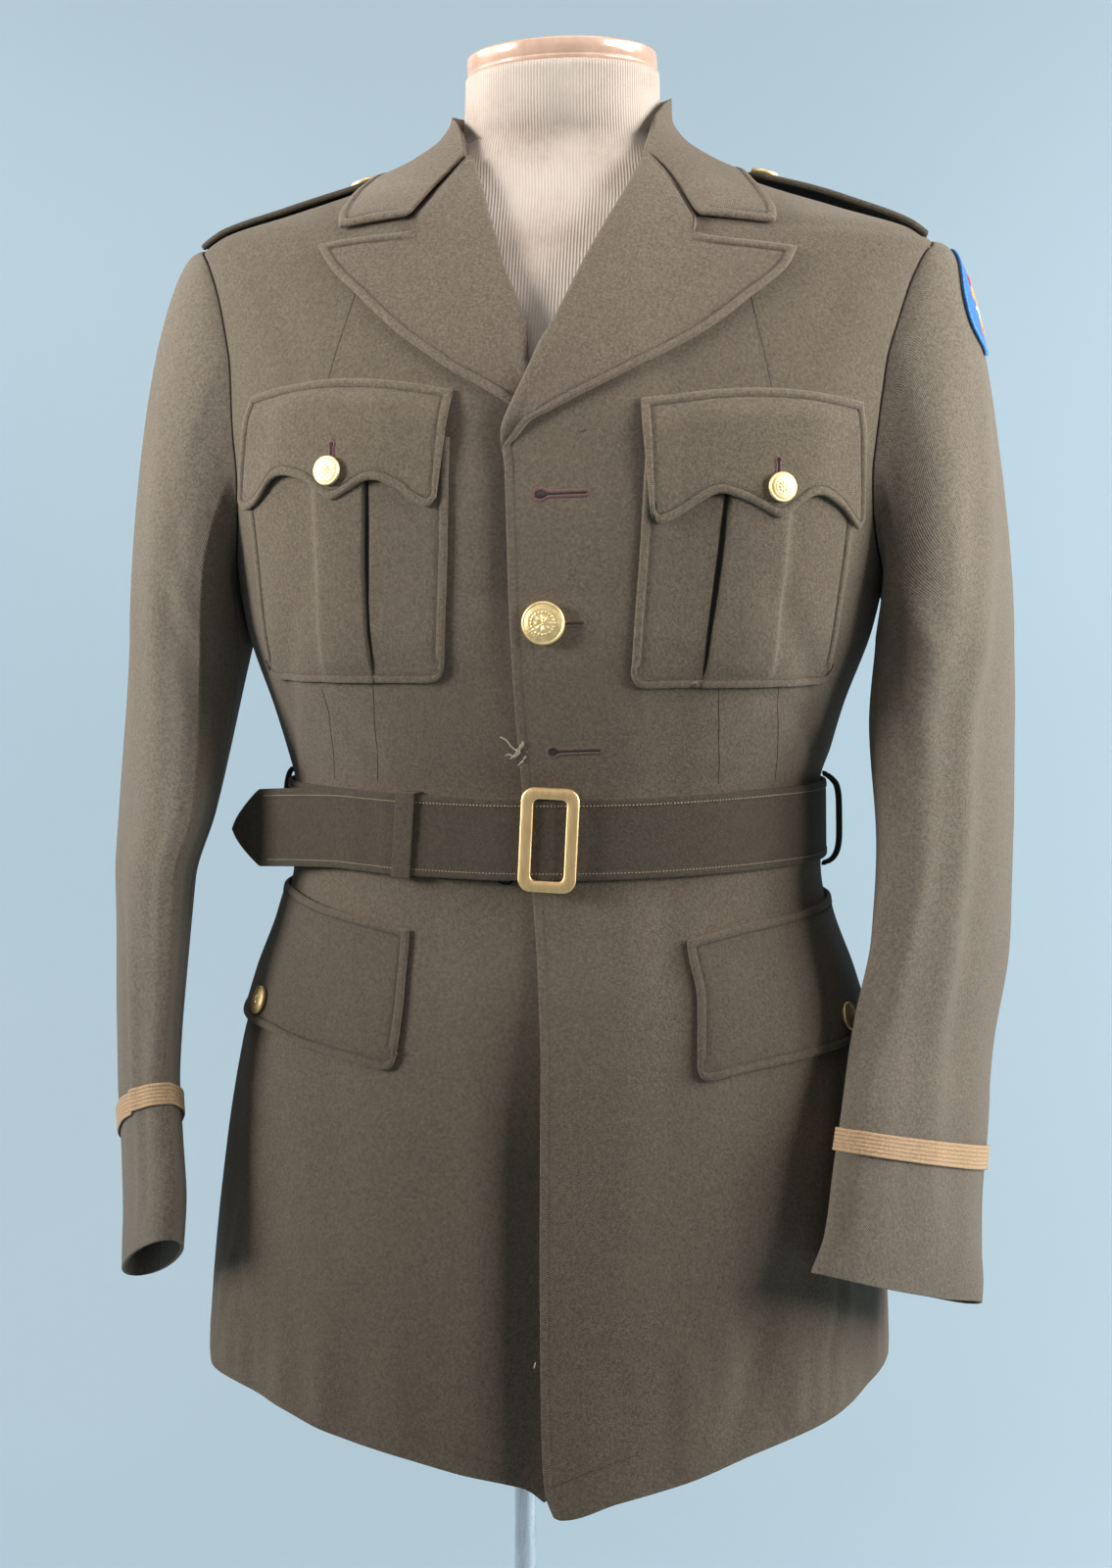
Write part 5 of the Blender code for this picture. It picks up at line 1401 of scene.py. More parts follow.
def cuff_braid(side):
    """Soutache: a woven base carrying twisted cords side by side."""
    high, low = braid_downs(side)
    name = SIDE_NAMES[side]
    angles = np.linspace(SEAM_TURN - 136, 224 - SEAM_TURN, BRAID_COLUMNS + 1)[:-1]
    across = np.concatenate([[0], (np.arange(BRAID_CORDS * 6) + 0.5) / (BRAID_CORDS * 6), [1]])[:, None]
    cord_share = np.abs(2 * ((across * BRAID_CORDS) % 1) - 1)
    relief = 0.62 * np.sqrt(np.clip(1 - cord_share ** 2, 0, 1)) - 0.3
    turned = np.arange(BRAID_COLUMNS)[None, :] * 2 * math.pi / 3
    twist = 0.09 * np.sin(turned + across * 2 * math.pi * BRAID_CORDS * 0.8)
    out = LAY_GAP + BRAID_WALL + relief + twist
    points = sleeve_point(side, angles[None, :], mix(low, high, across), out)
    # Painted shade darkens the braid between its cords.
    cloth(f"cuff_braid_woven_{name}", points, BRAID_WALL * 0.8, "braid", BRAID, outward=off_sleeve(side),
          closed=True, replaces=[f"cuff_braid_{name}"], held="stretched", rests_on=f"coat_sleeve_top_{name}",
          tone=-2.6 * smooth(0.6, 1.0, cord_share) + 0 * points[..., 0])


def on_sleeve_head(side, ahead, below, out):
    """Places on the sleeve's head, ahead of its top line and below the armhole along the cloth."""
    ahead, below = floats(ahead, below)
    run = np.linspace(0, 1.2, 61)
    down = np.interp(below, lengths_of(sleeve_base(side, np.zeros(61), run)), run)
    angles = np.linspace(0, 60, 31)
    way = np.where(ahead >= 0, 1.0, -1.0)
    line = sleeve_base(side, way[..., None] * angles, down[..., None])
    lengths = runs_of(line, line.ndim - 2).reshape(-1, len(angles))
    flat = [np.interp(value, row, angles) for value, row in zip(np.abs(ahead).ravel(), lengths)]
    return sleeve_point(side, way * np.array(flat).reshape(ahead.shape), down, out)


def disc_places(count):
    """A square grid pressed into a disc of radius 1."""
    line = np.sin(np.linspace(-math.pi / 2, math.pi / 2, count))
    x, y = np.meshgrid(line, line)
    return x * np.sqrt(1 - y * y / 2), y * np.sqrt(1 - x * x / 2)


def shoulder_patch(side):
    name = SIDE_NAMES[side]
    x, y = disc_places(44)
    points = on_sleeve_head(side, PATCH_RADIUS * x, PATCH_DROP + PATCH_RADIUS * y, LAY_GAP + PATCH_WALL)
    cloth(f"patch_field_{name}", points, PATCH_WALL * 0.9, "patch_felt", PATCH_BLUE, outward=off_sleeve(side),
          replaces=[f"shoulder_patch_{name}"], held="stretched", rests_on=f"coat_sleeve_top_{name}")
    motif(side, f"patch_border_{name}", PATCH_BORDER, *ring_motif(30.2, 1.3), 0.45)
    motif(side, f"patch_wave_{name}", PATCH_ORANGE, *wave_motif(-2.0, 5.2, 21), 0.4)
    motif(side, f"patch_stripe_{name}", PATCH_PALE, *wave_motif(7.6, 2.0, 18), 0.3)
    motif(side, f"patch_lower_{name}", PATCH_ORANGE, *wave_motif(15.0, 2.2, 12), 0.3)
    for place, (across, below, radius) in enumerate(((-9, -14, 3.4), (3, -17.5, 3.4), (14, -12, 3.4))):
        motif(side, f"patch_dot_{place}_{name}", PATCH_RED, *dot_motif(across, below, radius), 0.5)


def ring_motif(radius, half):
    angle = np.linspace(0, 2 * math.pi, 361)[None, :-1]
    across = np.linspace(-1, 1, 7)[:, None]
    reach = radius + half * across
    relief = (1 - across ** 2) * (1 + 0.18 * np.cos(angle * 90 + across * 2))
    return reach * np.cos(angle), reach * np.sin(angle), relief, True


def wave_motif(rise, half, reach):
    along = np.linspace(-1, 1, 121)[None, :]
    across = np.linspace(-1, 1, 7)[:, None]
    narrow = np.sqrt(np.clip(1 - along ** 4, 0.01, 1))
    below = rise + 3.2 * np.sin(along * 5.2) + half * across * narrow
    relief = (1 - across ** 4) * narrow * (1 + 0.15 * np.cos(along * 150))
    return reach * along + 0 * across, below, relief, False


def dot_motif(across, below, radius):
    x, y = disc_places(13)
    return across + radius * x, below + radius * y, np.sqrt(np.clip(1 - x * x - y * y, 0, 1)), False


def motif(side, name, finish, ahead, below, relief, closed, height):
    """Raised stitching on the patch."""
    points = on_sleeve_head(side, ahead, PATCH_DROP + below, LAY_GAP + PATCH_WALL + 0.12 + height * relief)
    cloth(name, points, 0.3, "patch_felt", finish, outward=off_sleeve(side), closed=closed, cut=False,
          bulge=0.02)


# ---------------------------------------------------------------- collar and lapels

# How far each lapel runs on under the other front, below its break.
LAPEL_UNDER = {LEFT: ((), ()), RIGHT: (((-1, 1381), (-6, 1390)), ((-9, 1371),))}
# The share of a lapel's top edge that the gorge seam takes up.
NOTCH_SHARE = {LEFT: 0.48, RIGHT: 0.46}
# About a lapel's length and the width of its flat outer part, for the spacing of rows and columns.
LAPEL_LENGTH, LAPEL_OUTER = 190, 68
# How far each place of a lapel's top lies on under the collar, outwards and up.
UNDER_COLLAR = ((6.5, 5.0), (6.5, 5.0), (6.5, 5.0), (5.0, 3.5), (1.0, 0), (0, 0), (0, 0), (0, 0), (0, 0))
# The rolled edge: how far each added column lies back from the roll line, and its rise.
ROLL_CURL = ((2.4, 1.7), (2.1, 3.0), (1.2, 4.2), (0.3, 4.8))
# Shares of the way up the collar's stand.
CURL_SHARES = (0, 0.2, 0.4, 0.6, 0.8)


def lapel(side):
    under_roll, under_edge = LAPEL_UNDER[side]
    t = spots(LAPEL_LENGTH, 2.6, start=False) / LAPEL_LENGTH
    outer = spots(LAPEL_OUTER, 2.6, start=False) / LAPEL_OUTER
    across = np.concatenate([np.linspace(0, 0.3, 12)[:-1], 0.3 + 0.7 * outer])
    roll = spline(under_roll + LAPEL_ROLL[side], t)
    edge = spline(under_edge + LAPEL_EDGE[side], t)
    top = path_at(np.array(LAPEL_TOP[side]) + np.array(UNDER_COLLAR) * (side, 1), across)
    straight = mix(roll[:, None], edge[:, None], across[None, :, None])
    place = straight + (top - mix(top[0], top[-1], across[:, None]))[None] * (t ** 3)[:, None, None]
    flat = 0.4 if side == LEFT else 0.9
    start = smooth(-0.01, 0.10, t)[:, None]
    out = mix(flat, mix(5.0, LAY_GAP + LAPEL_WALL + 0.25, smooth(0, 0.35, across)), start)
    notch = NOTCH_SHARE[side]
    below_top = (1 - t) * 175
    meeting = 1.0 * smooth(24, 9, below_top) - 2.4 * smooth(5.2, 3.2, below_top)
    out = out + meeting[:, None] * smooth(notch - 0.02, notch - 0.1, across)
    shift, lift = np.array(ROLL_CURL).T
    along = place[..., 0] + side * 1.5 * (1 - across) * start
    along = np.hstack([roll[:, :1] - side * shift * start, along])
    height = np.hstack([roll[:, [1] * len(shift)], place[..., 1]])
    points = laid_on_front(side, along, height, np.hstack([mix(flat, lift, start), out]))
    over = np.concatenate([np.zeros(len(shift)), across])[None, :]
    top_edge = edge_distance(points, ("high",))
    on_gorge = smooth(notch + 0.07, notch - 0.02, over)
    away = np.minimum(edge_distance(points, ("right",)), top_edge + 60 * on_gorge)
    seam = -1.3 * gauss(top_edge / 1.3) * smooth(notch + 0.02, notch - 0.04, over)
    face = coat_piece(side, "lapel", points, LAPEL_WALL, LAPEL_WOOL, away=away, tone=seam, bulge=0.7,
                      held="folded")
    stitch_edge(face, ("right",))
    stitch_edge(face, ("high",), skip=notch + 0.06)


def stitch_edge(face, sides, distance=4.7, trim=4.7, skip=0.0, skip_end=0.0, how=()):
    """Stitches over a grid along some of its sides; skip leaves out a share at the line's start."""
    normals = grid_normals(face)
    if (normals * off_body(face)).sum() < 0:
        normals = -normals
    for side in sides:
        line, way = edge_line(face, side, distance), edge_line(normals, side, 0)
        lengths = lengths_of(line)
        keep = (lengths >= max(trim, skip * lengths[-1])) & (lengths <= lengths[-1] * (1 - skip_end) - trim)
        stitch_row(line[keep], way[keep], *how)


def collar_half(side, places, falls):
    """The collar's rows on one side, with the other side's sign left off x."""
    track = Track(COLLAR_STATIONS)
    station = track(places)
    crest, edge, stand = station[:, 0:3].copy(), station[:, 3:6].copy(), station[:, 6]
    inwards = 1.2 * smooth(0.0, 0.08, places) + 3.2 * smooth(0.12, 0.3, places)
    crest[:, 0] -= inwards * smooth(0.85, 0.6, places)
    crest[:, 2] += side * COLLAR_SIDE_RISE * smooth(0.1, 0.36, places) * smooth(1.0, 0.7, places)
    edge[:, 0] += COLLAR_TIP_SHIFT[side] * smooth(0.4, 0, places)
    rise = np.maximum(np.linalg.norm(crest - onto_body(crest), axis=1), COLLAR_CREST)
    inward = -unit(np.stack([crest[:, 0], crest[:, 1], 0 * stand], -1))
    crest = onto_body(crest, rise)
    curl = onto_body(crest + inward * 2.4, COLLAR_CREST - 3)
    upper_curl = onto_body(crest + inward * 1.2, COLLAR_CREST - 0.9)
    upright = crest + inward * 2.6
    tall = smooth(0, 12, stand)[:, None]
    up = np.array([0, 0, 1.0])
    base = mix(curl, upright - stand[:, None] * up, tall)
    neck = mix(upper_curl, upright - 2.0 * up, tall)
    ridge_top = crest + 0.6 * tall * up
    columns = [mix(base, neck, k) for k in CURL_SHARES]
    columns += [neck, mix(neck, ridge_top, 0.5) + 0.5 * up, ridge_top]
    share = smooth(GORGE_REACH, 0, places)[:, None]
    start = track(0)
    tip = start[3:6] + np.array([COLLAR_TIP_SHIFT[side], 0, 0])
    for fall in falls:
        lift = (rise - COLLAR_GAP - COLLAR_WALL) * (1 - fall) ** 2.4
        x, height = path_at(GORGE[side], np.array([fall]))[0]
        bend = base_point(turn_of_x(x, height), height) - onto_body(mix(start[0:3], tip, fall))
        out = COLLAR_GAP + COLLAR_WALL + np.maximum(lift, 0)
        columns.append(onto_body(mix(crest, edge, fall) + bend * share, out))
    return np.stack(columns, axis=1)


def collar():
    front, fall_length = 62, 48
    places = np.concatenate([spots(front, 2.4, end=False) / front * 0.3, np.linspace(0.3, 1, 48)[1:]])
    falls = np.concatenate([[0.03, 0.07], 0.1 + 0.9 * spots(fall_length, 2.4, start=False) / fall_length])
    left, right = [collar_half(side, places, falls) for side in (LEFT, RIGHT)]
    points = np.concatenate([left, right[-2::-1] * np.array([-1, 1, 1])])
    fall = np.concatenate([np.zeros(8), falls])[None, :]
    ends = edge_distance(points, ("low", "high"))
    away = np.minimum(edge_distance(points, ("right",)), ends + 60 * smooth(0.60, 0.5, fall))
    seam = -1.3 * gauss(ends / 1.3) * smooth(0.56, 0.5, fall)
    _, face = cloth("coat_collar", points, COLLAR_WALL, "coat_wool", LAPEL_WOOL, away=away, tone=seam,
                    bulge=0.7, replaces=["collar"], held="folded", rests_on="coat_back_left")
    stitch_edge(face, ("right",))
    stitch_edge(face, ("low", "high"), skip=0.62)


# ---------------------------------------------------------------- pockets and flaps

ALL_ROUND = ("left", "right", "low", "high")
# Where the pleat's slit lies over the pocket, from its inner edge, and how wide it gapes.
SLIT_LINE = {
    # share of the height, distance, half_gap
    LEFT: ((0.0, 40.5, 0.3), (0.12, 42.2, 0.8), (0.3, 43.4, 1.5), (0.5, 44.6, 1.7), (0.75, 46.2, 1.2),
           (1.0, 47.0, 0.8)),
    RIGHT: ((0.0, 42.5, 0.3), (0.1, 43.4, 0.4), (0.25, 45.0, 0.7), (0.5, 46.0, 1.1), (0.7, 45.2, 1.0),
            (1.0, 44.0, 0.6)),
}
# Where the pleat's outer fold lies, from the pocket's inner edge.
PLEAT_LINE = {LEFT: 84.0, RIGHT: 77.0}


def upper_pocket(side):
    width, middle, reach = 130.0, 44.5, 7.5
    slit = powered(np.linspace(-1, 1, 13), 1.2)
    columns = spots(width, 3.2)
    fold = PLEAT_LINE[side]
    columns = columns[(columns < 36) | ((columns > 53) & (np.abs(columns - fold) > 4.5))]
    crease = fold + np.array([-3.5, -1.6, -0.6, 0.4, 1.4, 3.0])
    columns = np.sort(np.concatenate([columns, middle + reach * slit, crease]))[None, :]
    bottom = POCKET_BOTTOM[side]
    full = POCKET_TOP - bottom
    heights = spots(full, 3.0, True, False)[:, None]
    share = heights / full
    centre, half = Track(SLIT_LINE[side]).parts(share)
    near = np.clip(1 - np.abs(columns - middle) / reach, 0, 1)
    squeeze = np.sign(columns - middle) * (1 - near)
    column = np.where(near > 0, centre + reach * squeeze * mix(np.abs(squeeze) ** 0.6, 1, 0.3), columns)
    column = np.where(near > 0, mix(column, columns, np.abs(squeeze) ** 3), column)
    outer = mix(POCKET_OUTER_BOTTOM, POCKET_OUTER_TOP, share)
    inner = mix(POCKET_INNER_BOTTOM, POCKET_INNER_TOP[side], share)
    along = mix(inner, outer, column / width)
    rounding = round_corner(np.minimum(columns, width - columns), FLAP_CORNER)
    rise = np.maximum(bottom + heights, bottom + rounding + heights * 0.3)
    off = (column - centre) / half
    open_share = smooth(0.035, 0.09, share)
    pleat = smooth(0.6, 1.15, off) - smooth(fold - 3, fold + 3, column)
    pleat = PLEAT_RISE * pleat * mix(0.35, 1, open_share)
    gap = smooth(-1.5, -0.9, off) * smooth(1.15, 0.75, off) * open_share
    crown = 0.8 * gauss((column - 62) / 15) * open_share
    seam = -0.15 * gauss((column - fold) / 0.7)
    out = POCKET_GAP + POCKET_WALL + pleat - 1.9 * gap + crown + seam
    # Painted shade darkens the pleat's slit; a paler line runs along the pleat's fold.
    tone = -4.2 * gap * smooth(1.2, 0.4, np.abs(off)) + 0.25 * gauss((column - fold) / 0.8) - 1.8 * gap
    coat_piece(side, "pocket", laid_on_front(side, side * along, rise, out), POCKET_WALL, WOOL,
               ("left", "right", "low"), bulge=0.35, tone=tone)


# How far the flaps' arches lie from an even spacing.
ARCH_SHIFT = {
    LEFT: lambda across: -0.04 * smooth(0.3, 0.5, across) * smooth(1, 0.85, across),
    RIGHT: lambda across: 0.055 * smooth(0.05, 0.2, across) * smooth(1, 0.85, across),
}


def upper_flap(side):
    inner_top, inner_low, outer_top, outer_low, inner_height, outer_height, crown = UPPER_FLAP[side]
    edge = Track(SCALLOP[side])
    length, width = 60, 122
    share = (1 - spots(length, 2.4) / length)[:, None]
    across = (spots(width, 2.0) / width)[None, :]
    along = mix(mix(inner_top, outer_top, across), mix(inner_low, outer_low, across), share)
    top = mix(inner_height, outer_height, across) + crown * np.sin(math.pi * across)
    arches = 2.9 * (gauss((across - 0.28) / 0.085) + gauss((across - 0.72) / 0.085))
    height = top - (edge.one(across + ARCH_SHIFT[side](across)) - arches - 0.8) * share
    hump = PLEAT_RISE * np.exp(-((across - 0.5) / 0.31) ** 6)
    full = POCKET_GAP + POCKET_WALL + LAY_GAP + FLAP_WALL + hump + 0.4
    out = mix(LAY_GAP + FLAP_WALL, full, smooth(0.0, 0.28, share))
    # Painted light: the upper flaps' cloth is made a little lighter than the fronts'.
    coat_piece(side, "flap_upper", laid_on_front(side, side * along, height, out), FLAP_WALL, WOOL, ALL_ROUND,
               bulge=0.5, tone=0.6, rests_on=f"coat_pocket_{SIDE_NAMES[side]}")


def lower_flap(side):
    start, end = LOWER_FLAP_ENDS[side]
    width = end - start
    share = (1 - spots(LOWER_FLAP_DROP, 2.8) / LOWER_FLAP_DROP)[:, None]
    place = spots(width, 3.0)[None, :]
    across = place / width
    if side == LEFT:
        lean = 6 * smooth(0, 0.45, share)
    else:
        lean = 1.5 * smooth(0, 0.5, share) + 3.5 * smooth(0.4, 1, share)
    along = start + place + lean * (1 - across) ** 2
    rounding = round_corner(np.minimum(place, width - place), FLAP_CORNER)
    low = LOWER_FLAP_DROP * (1 - share)
    rise = np.maximum(low, np.where(share > 0.5, rounding, 0) + 0.3 * low)
    height = Track(LOWER_FLAP_TOP[side]).one(along) - LOWER_FLAP_DROP + rise
    out = LAY_GAP + FLAP_WALL + 0.5 + 0.4 * share + 0.4 * smooth(0.85, 0.97, across)
    # Painted shade: the lower flaps' cloth is made darker than the fronts'.
    coat_piece(side, "flap_lower", laid_on_front(side, side * along, height, out), FLAP_WALL, WOOL, ALL_ROUND,
               bulge=0.5, tone=-1.6)


# ---------------------------------------------------------------- turned pieces

def lathe(name, profile, steps, finish, matrix, replaces=(), relief=None):
    """A turned piece; relief(radius, angle) stands out along the axis."""
    angle = ring_angles(steps)
    radius, height = np.array(profile, dtype=float).T[..., None]
    high = height + (0 if relief is None else relief(radius, angle[None, :]))
    points = np.stack(floats(radius * np.cos(angle), radius * np.sin(angle), high), -1)
    return mesh_object(name, moved(matrix, points), ring_faces(len(profile), steps, flip=True), finish,
                       replaces=replaces)


def arc(reach, height, corner, start, end, count):
    """A rounded corner of an outline, round its centre."""
    turns = [math.radians(turn) for turn in np.linspace(start, end, count)]
    return [(reach + corner * math.cos(turn), height + corner * math.sin(turn)) for turn in turns]


def facing(point, normal):
    """A matrix at a point, with its Z axis along the normal."""
    turned_to = Vector(normal).to_track_quat("Z", "Y").to_matrix().to_4x4()
    return Matrix.Translation(Vector(placed(point))) @ turned_to


# A button's rim, in shares of its radius and of its height.
BUTTON_RIM = ((0.87, 0.74), (0.895, 0.80), (0.92, 0.83), (0.95, 0.80), (0.98, 0.70), (1.0, 0.5),
              (0.985, 0.3), (0.93, 0.12))


def button(name, point, normal, radius):
    """A domed button with a rope rim and a plain rosette in a wreath of beads."""
    tall = radius * BUTTON_HEIGHT
    crown = [(0.02, tall)]
    crown += [(r * radius, tall * (1 - 0.2 * r * r / 0.7)) for r in np.linspace(0.04, 0.84, 26)]
    crown += [(r * radius, h * tall) for r, h in BUTTON_RIM] + [(0.86 * radius, 0), (0.02, 0)]
    struck = np.arange(len(crown))[:, None] < len(crown) - 3

    def relief(reach, angle):
        r = reach / radius
        petals = gauss((r - 0.24) / 0.13) * (0.55 + 0.45 * np.cos(angle * 8))
        heart = gauss(r / 0.09)
        beads = gauss((r - 0.52) / 0.045) * (0.5 + 0.5 * np.cos(angle * 20))
        rays = gauss((r - 0.68) / 0.08) * (0.5 + 0.5 * np.cos(angle * 32))
        rope = gauss((r - 0.92) / 0.04) * np.cos(angle * 40 + r * 30) * 0.25
        ground = 0.1 * np.sin(angle * 48) * np.sin(r * 90) * (r < 0.84)
        return radius * 0.045 * struck * (petals + heart + beads + 0.6 * rays + rope + 0.5 * ground)

    lathe(name + "_struck", crown, 96, GOLD, facing(point, normal), [name], relief)


def coat_button(name, turn, height, out, radius):
    button(f"button_{name}", body_point(turn, height, out), body_normal(turn, height), radius)


def buttons():
    along, height = FRONT_BUTTON
    coat_button("front", turn_at(along, height), height, FRONT_LAP + 0.4, FRONT_BUTTON_RADIUS)
    over_flap = POCKET_GAP + POCKET_WALL + LAY_GAP + FLAP_WALL + PLEAT_RISE + 1.1
    for side in (LEFT, RIGHT):
        for kind, places, out in (("upper", UPPER_BUTTONS, over_flap),
                                  ("lower", LOWER_BUTTONS, LAY_GAP + FLAP_WALL + 1.1)):
            along, height = places[side]
            coat_button(f"{kind}_{SIDE_NAMES[side]}", turn_at(side * along, height), height, out,
                        SMALL_BUTTON_RADIUS)


# ---------------------------------------------------------------- shoulder loops

def loop_point(side, x, y, extra=0.0):
    """Places on a shoulder loop's outer face, from places in plan."""
    share = np.clip((x - LOOP_INNER) / (LOOP_OUTER - LOOP_INNER), 0, 1)
    out = LAY_GAP + LOOP_WALL + LOOP_LIFT[side] * np.sin(math.pi * share ** 0.8)
    start = np.stack([side * x, y, 1500 - 0.35 * (x - 140)], -1)
    return onto_body(start, out + extra)


def shoulder_loop(side):
    length, width = 101, 44
    share = (spots(length, 2.6) / length)[:, None]
    across = (2 * spots(width, 2.4) / width - 1)[None, :]
    half = mix(LOOP_HALF_OUTER, LOOP_HALF_INNER, share)
    x = mix(LOOP_OUTER, LOOP_INNER + 12 * np.abs(across) ** 2, share)
    coat_piece(side, "shoulder_loop", loop_point(side, x, half * across + 1), LOOP_WALL, BELT_WOOL,
               ("left", "right", "high"), bulge=0.9)

    def spot(x, y):
        return loop_point(side, np.array([x], dtype=float), np.array([y], dtype=float))[0]
    inwards = spot(LOOP_BUTTON_X - 5, 0) - spot(LOOP_BUTTON_X + 5, 0)
    backwards = spot(LOOP_BUTTON_X, 5) - spot(LOOP_BUTTON_X, -5)
    normal = unit(np.cross(backwards, inwards)) * side
    button(f"button_shoulder_{SIDE_NAMES[side]}", spot(LOOP_BUTTON_X, 0) + normal * 0.6, normal,
           SMALL_BUTTON_RADIUS)


# ---------------------------------------------------------------- belt

BELT_OUT = Track(BELT_LIFTS)


def belt_level(turn):
    """The height of the belt's middle."""
    return BELT_HEIGHT + BELT_RISE * smooth(4, 60, np.abs(wrap(turn)))


def flat_normal(turn):
    """The level way out of the coat at the belt."""
    return unit(body_normal(turn, np.full(np.shape(turn), float(BELT_HEIGHT))) * np.array([1, 1, 0]))


def belt_plan(turn, height):
    """Places on the belt's outer face."""
    return body_point(turn, height) + flat_normal(turn) * BELT_OUT.one(turn)[..., None]


def belt():
    last = BELT_LIFTS[-1][0]
    turns = np.concatenate([np.linspace(1, -33, 22)[:-1], np.linspace(-33, -320, 150)[:-1],
                            np.linspace(-320, last, 60)])
    level = belt_level(turns)
    top, low = belt_plan(turns, level + BELT_HALF), belt_plan(turns, level - BELT_HALF)
    # The tongue runs on from the last turn: straight ahead, with a slight bend and drop.
    places = belt_plan(np.array([last, last + 3.0]), belt_level(np.array([last, last])))
    heading = unit((places[0] - places[1]) * np.array([1, 1, 0]))
    bend = np.array([heading[1], -heading[0], 0])
    reach = TONGUE_LENGTH + 2.5
    run = np.concatenate([np.linspace(0.03, 0.73, 22), 1 - 0.26 * np.linspace(1, 0, 18) ** 1.5])
    run = (reach * run)[:, None]
    centre = places[0] + heading * run + bend * run ** 2 / (2 * 2.6 * TONGUE_BEND)
    centre[:, 2:3] -= TONGUE_DROP * (run / reach) ** 1.5
    half = BELT_HALF * np.minimum(1, (np.maximum(reach - run, 0.3) / TONGUE_POINT) ** 0.68)
    rise = half * np.array([0, 0, 1.0])
    top, low = np.concatenate([top, centre + rise]), np.concatenate([low, centre - rise])
    across = spots(2 * BELT_HALF, 3.0) / (2 * BELT_HALF)
    points = mix(low[:, None], top[:, None], across[None, :, None])
    _, face = cloth("belt_cloth", points, BELT_WALL, "belt_wool", BELT_WOOL, edges=("left", "right"),
                    welt=0.35, bulge=0.5, outward=lambda grid: grid * np.array([1, 1, 0]), replaces=["belt"],
                    held="stretched", rests_on="coat_front_left")
    stitch_edge(face, ("left", "right"), 3.4, 6, skip_end=0.026, how=(1.9, "belt"))


def keeper():
    inner_out = BELT_OUT.one(KEEPER_TURN) - BELT_WALL - 0.5 - KEEPER_WALL
    outer_out = BELT_OUT.one(KEEPER_TURN - 360) + 0.5 + KEEPER_WALL
    half = BELT_HALF + 0.6 + KEEPER_WALL
    outer = [(-1, -0.8), (-0.985, -0.2), (-0.95, 0), (-0.5, 0.15), (0, 0.2), (0.5, 0.15), (0.95, 0),
             (0.985, -0.2), (1, -0.8)]
    corners = [(-1, inner_out)] + [(up, outer_out + out) for up, out in outer]
    corners = np.array(corners + [(up, inner_out) for up in (1, 0.5, 0, -0.5)], dtype=float)
    turns = KEEPER_TURN + np.degrees((spots(KEEPER_WIDTH, 1.2, False, False) - KEEPER_WIDTH / 2) / 150)
    height = belt_level(turns)[:, None] + half * corners[None, :, 0]
    leaning = turns[:, None] + 0.55 * corners[None, :, 0]
    points = body_point(leaning, height) + flat_normal(turns)[:, None] * corners[None, :, 1, None]
    middle = points.mean((0, 1))
    # Painted highlight: the keeper's cloth is made lighter, where its rounded edges catch the light.
    cloth("belt_keeper_band", points, KEEPER_WALL, "belt_wool", BELT_WOOL, closed=True, bulge=0.3, tone=1.6,
          outward=lambda grid: grid - middle, replaces=["belt_keeper"], held="stretched",
          rests_on="belt_cloth")


def rounded_frame(width, height, corner, steps=10):
    points = []
    for right, up, start in ((1, 1, 0), (-1, 1, 90), (-1, -1, 180), (1, -1, 270)):
        points += arc(right * (width / 2 - corner), up * (height / 2 - corner), corner, start, start + 90,
                      steps + 1)
    return np.array(points)


def buckle_section(thick):
    """The frame's section: each row is a share from its outer to its inner edge, and a depth."""
    worn = ((0.02, -0.4), (0.06, -0.16), (0.12, -0.03), (0.3, 0.12), (0.5, 0.17), (0.7, 0.12), (0.88, -0.03),
            (0.94, -0.16), (0.98, -0.4), (1, -0.75))
    back = [(1, 0.3), (0.985, 0.08), (0.94, 0), (0.06, 0), (0.015, 0.08), (0, 0.3), (0, thick - 0.75)]
    return back + [(share, thick + depth) for share, depth in worn]


def buckle():
    turn = turn_of_x(BUCKLE_X, BELT_HEIGHT)
    point = body_point(turn, BELT_HEIGHT)
    point[1] -= BELT_OUT.one(turn - 360) + 0.5
    matrix = Matrix.Translation(Vector(placed(point))) @ Matrix.Rotation(math.radians(BUCKLE_LEAN), 4, "Y")
    width, height = BUCKLE_SIZE
    side_bar, end_bar = BUCKLE_BARS
    outer = rounded_frame(width, height, BUCKLE_CORNER)
    inner = rounded_frame(width - 2 * side_bar, height - 2 * end_bar, BUCKLE_CORNER - 4)
    rings = []
    for share, depth in buckle_section(BUCKLE_THICKNESS):
        flat = mix(outer, inner, share)
        rings.append(np.insert(flat, 1, -depth, axis=1))
    frame_faces = ring_faces(len(rings), len(outer), joined=True)
    mesh_object("buckle_frame", moved(matrix, np.array(rings)), frame_faces, GOLD_SATIN,
                replaces=["buckle"])
    reach = BELT_WALL + 0.5 + 0.4 + 1.15
    end = height / 2 - end_bar / 2
    route = [(0, 0.3, end), (0, reach * 0.6, end), (0, reach, end - 1.2), (0, reach, 0),
             (0, reach, -end + 1.2), (0, reach * 0.6, -end), (0, 0.3, -end)]
    vertices, faces = tube(route, 1.1, 10)
    mesh_object("buckle_wire", moved(matrix, vertices), faces, GOLD_SATIN, replaces=["buckle_bar"])


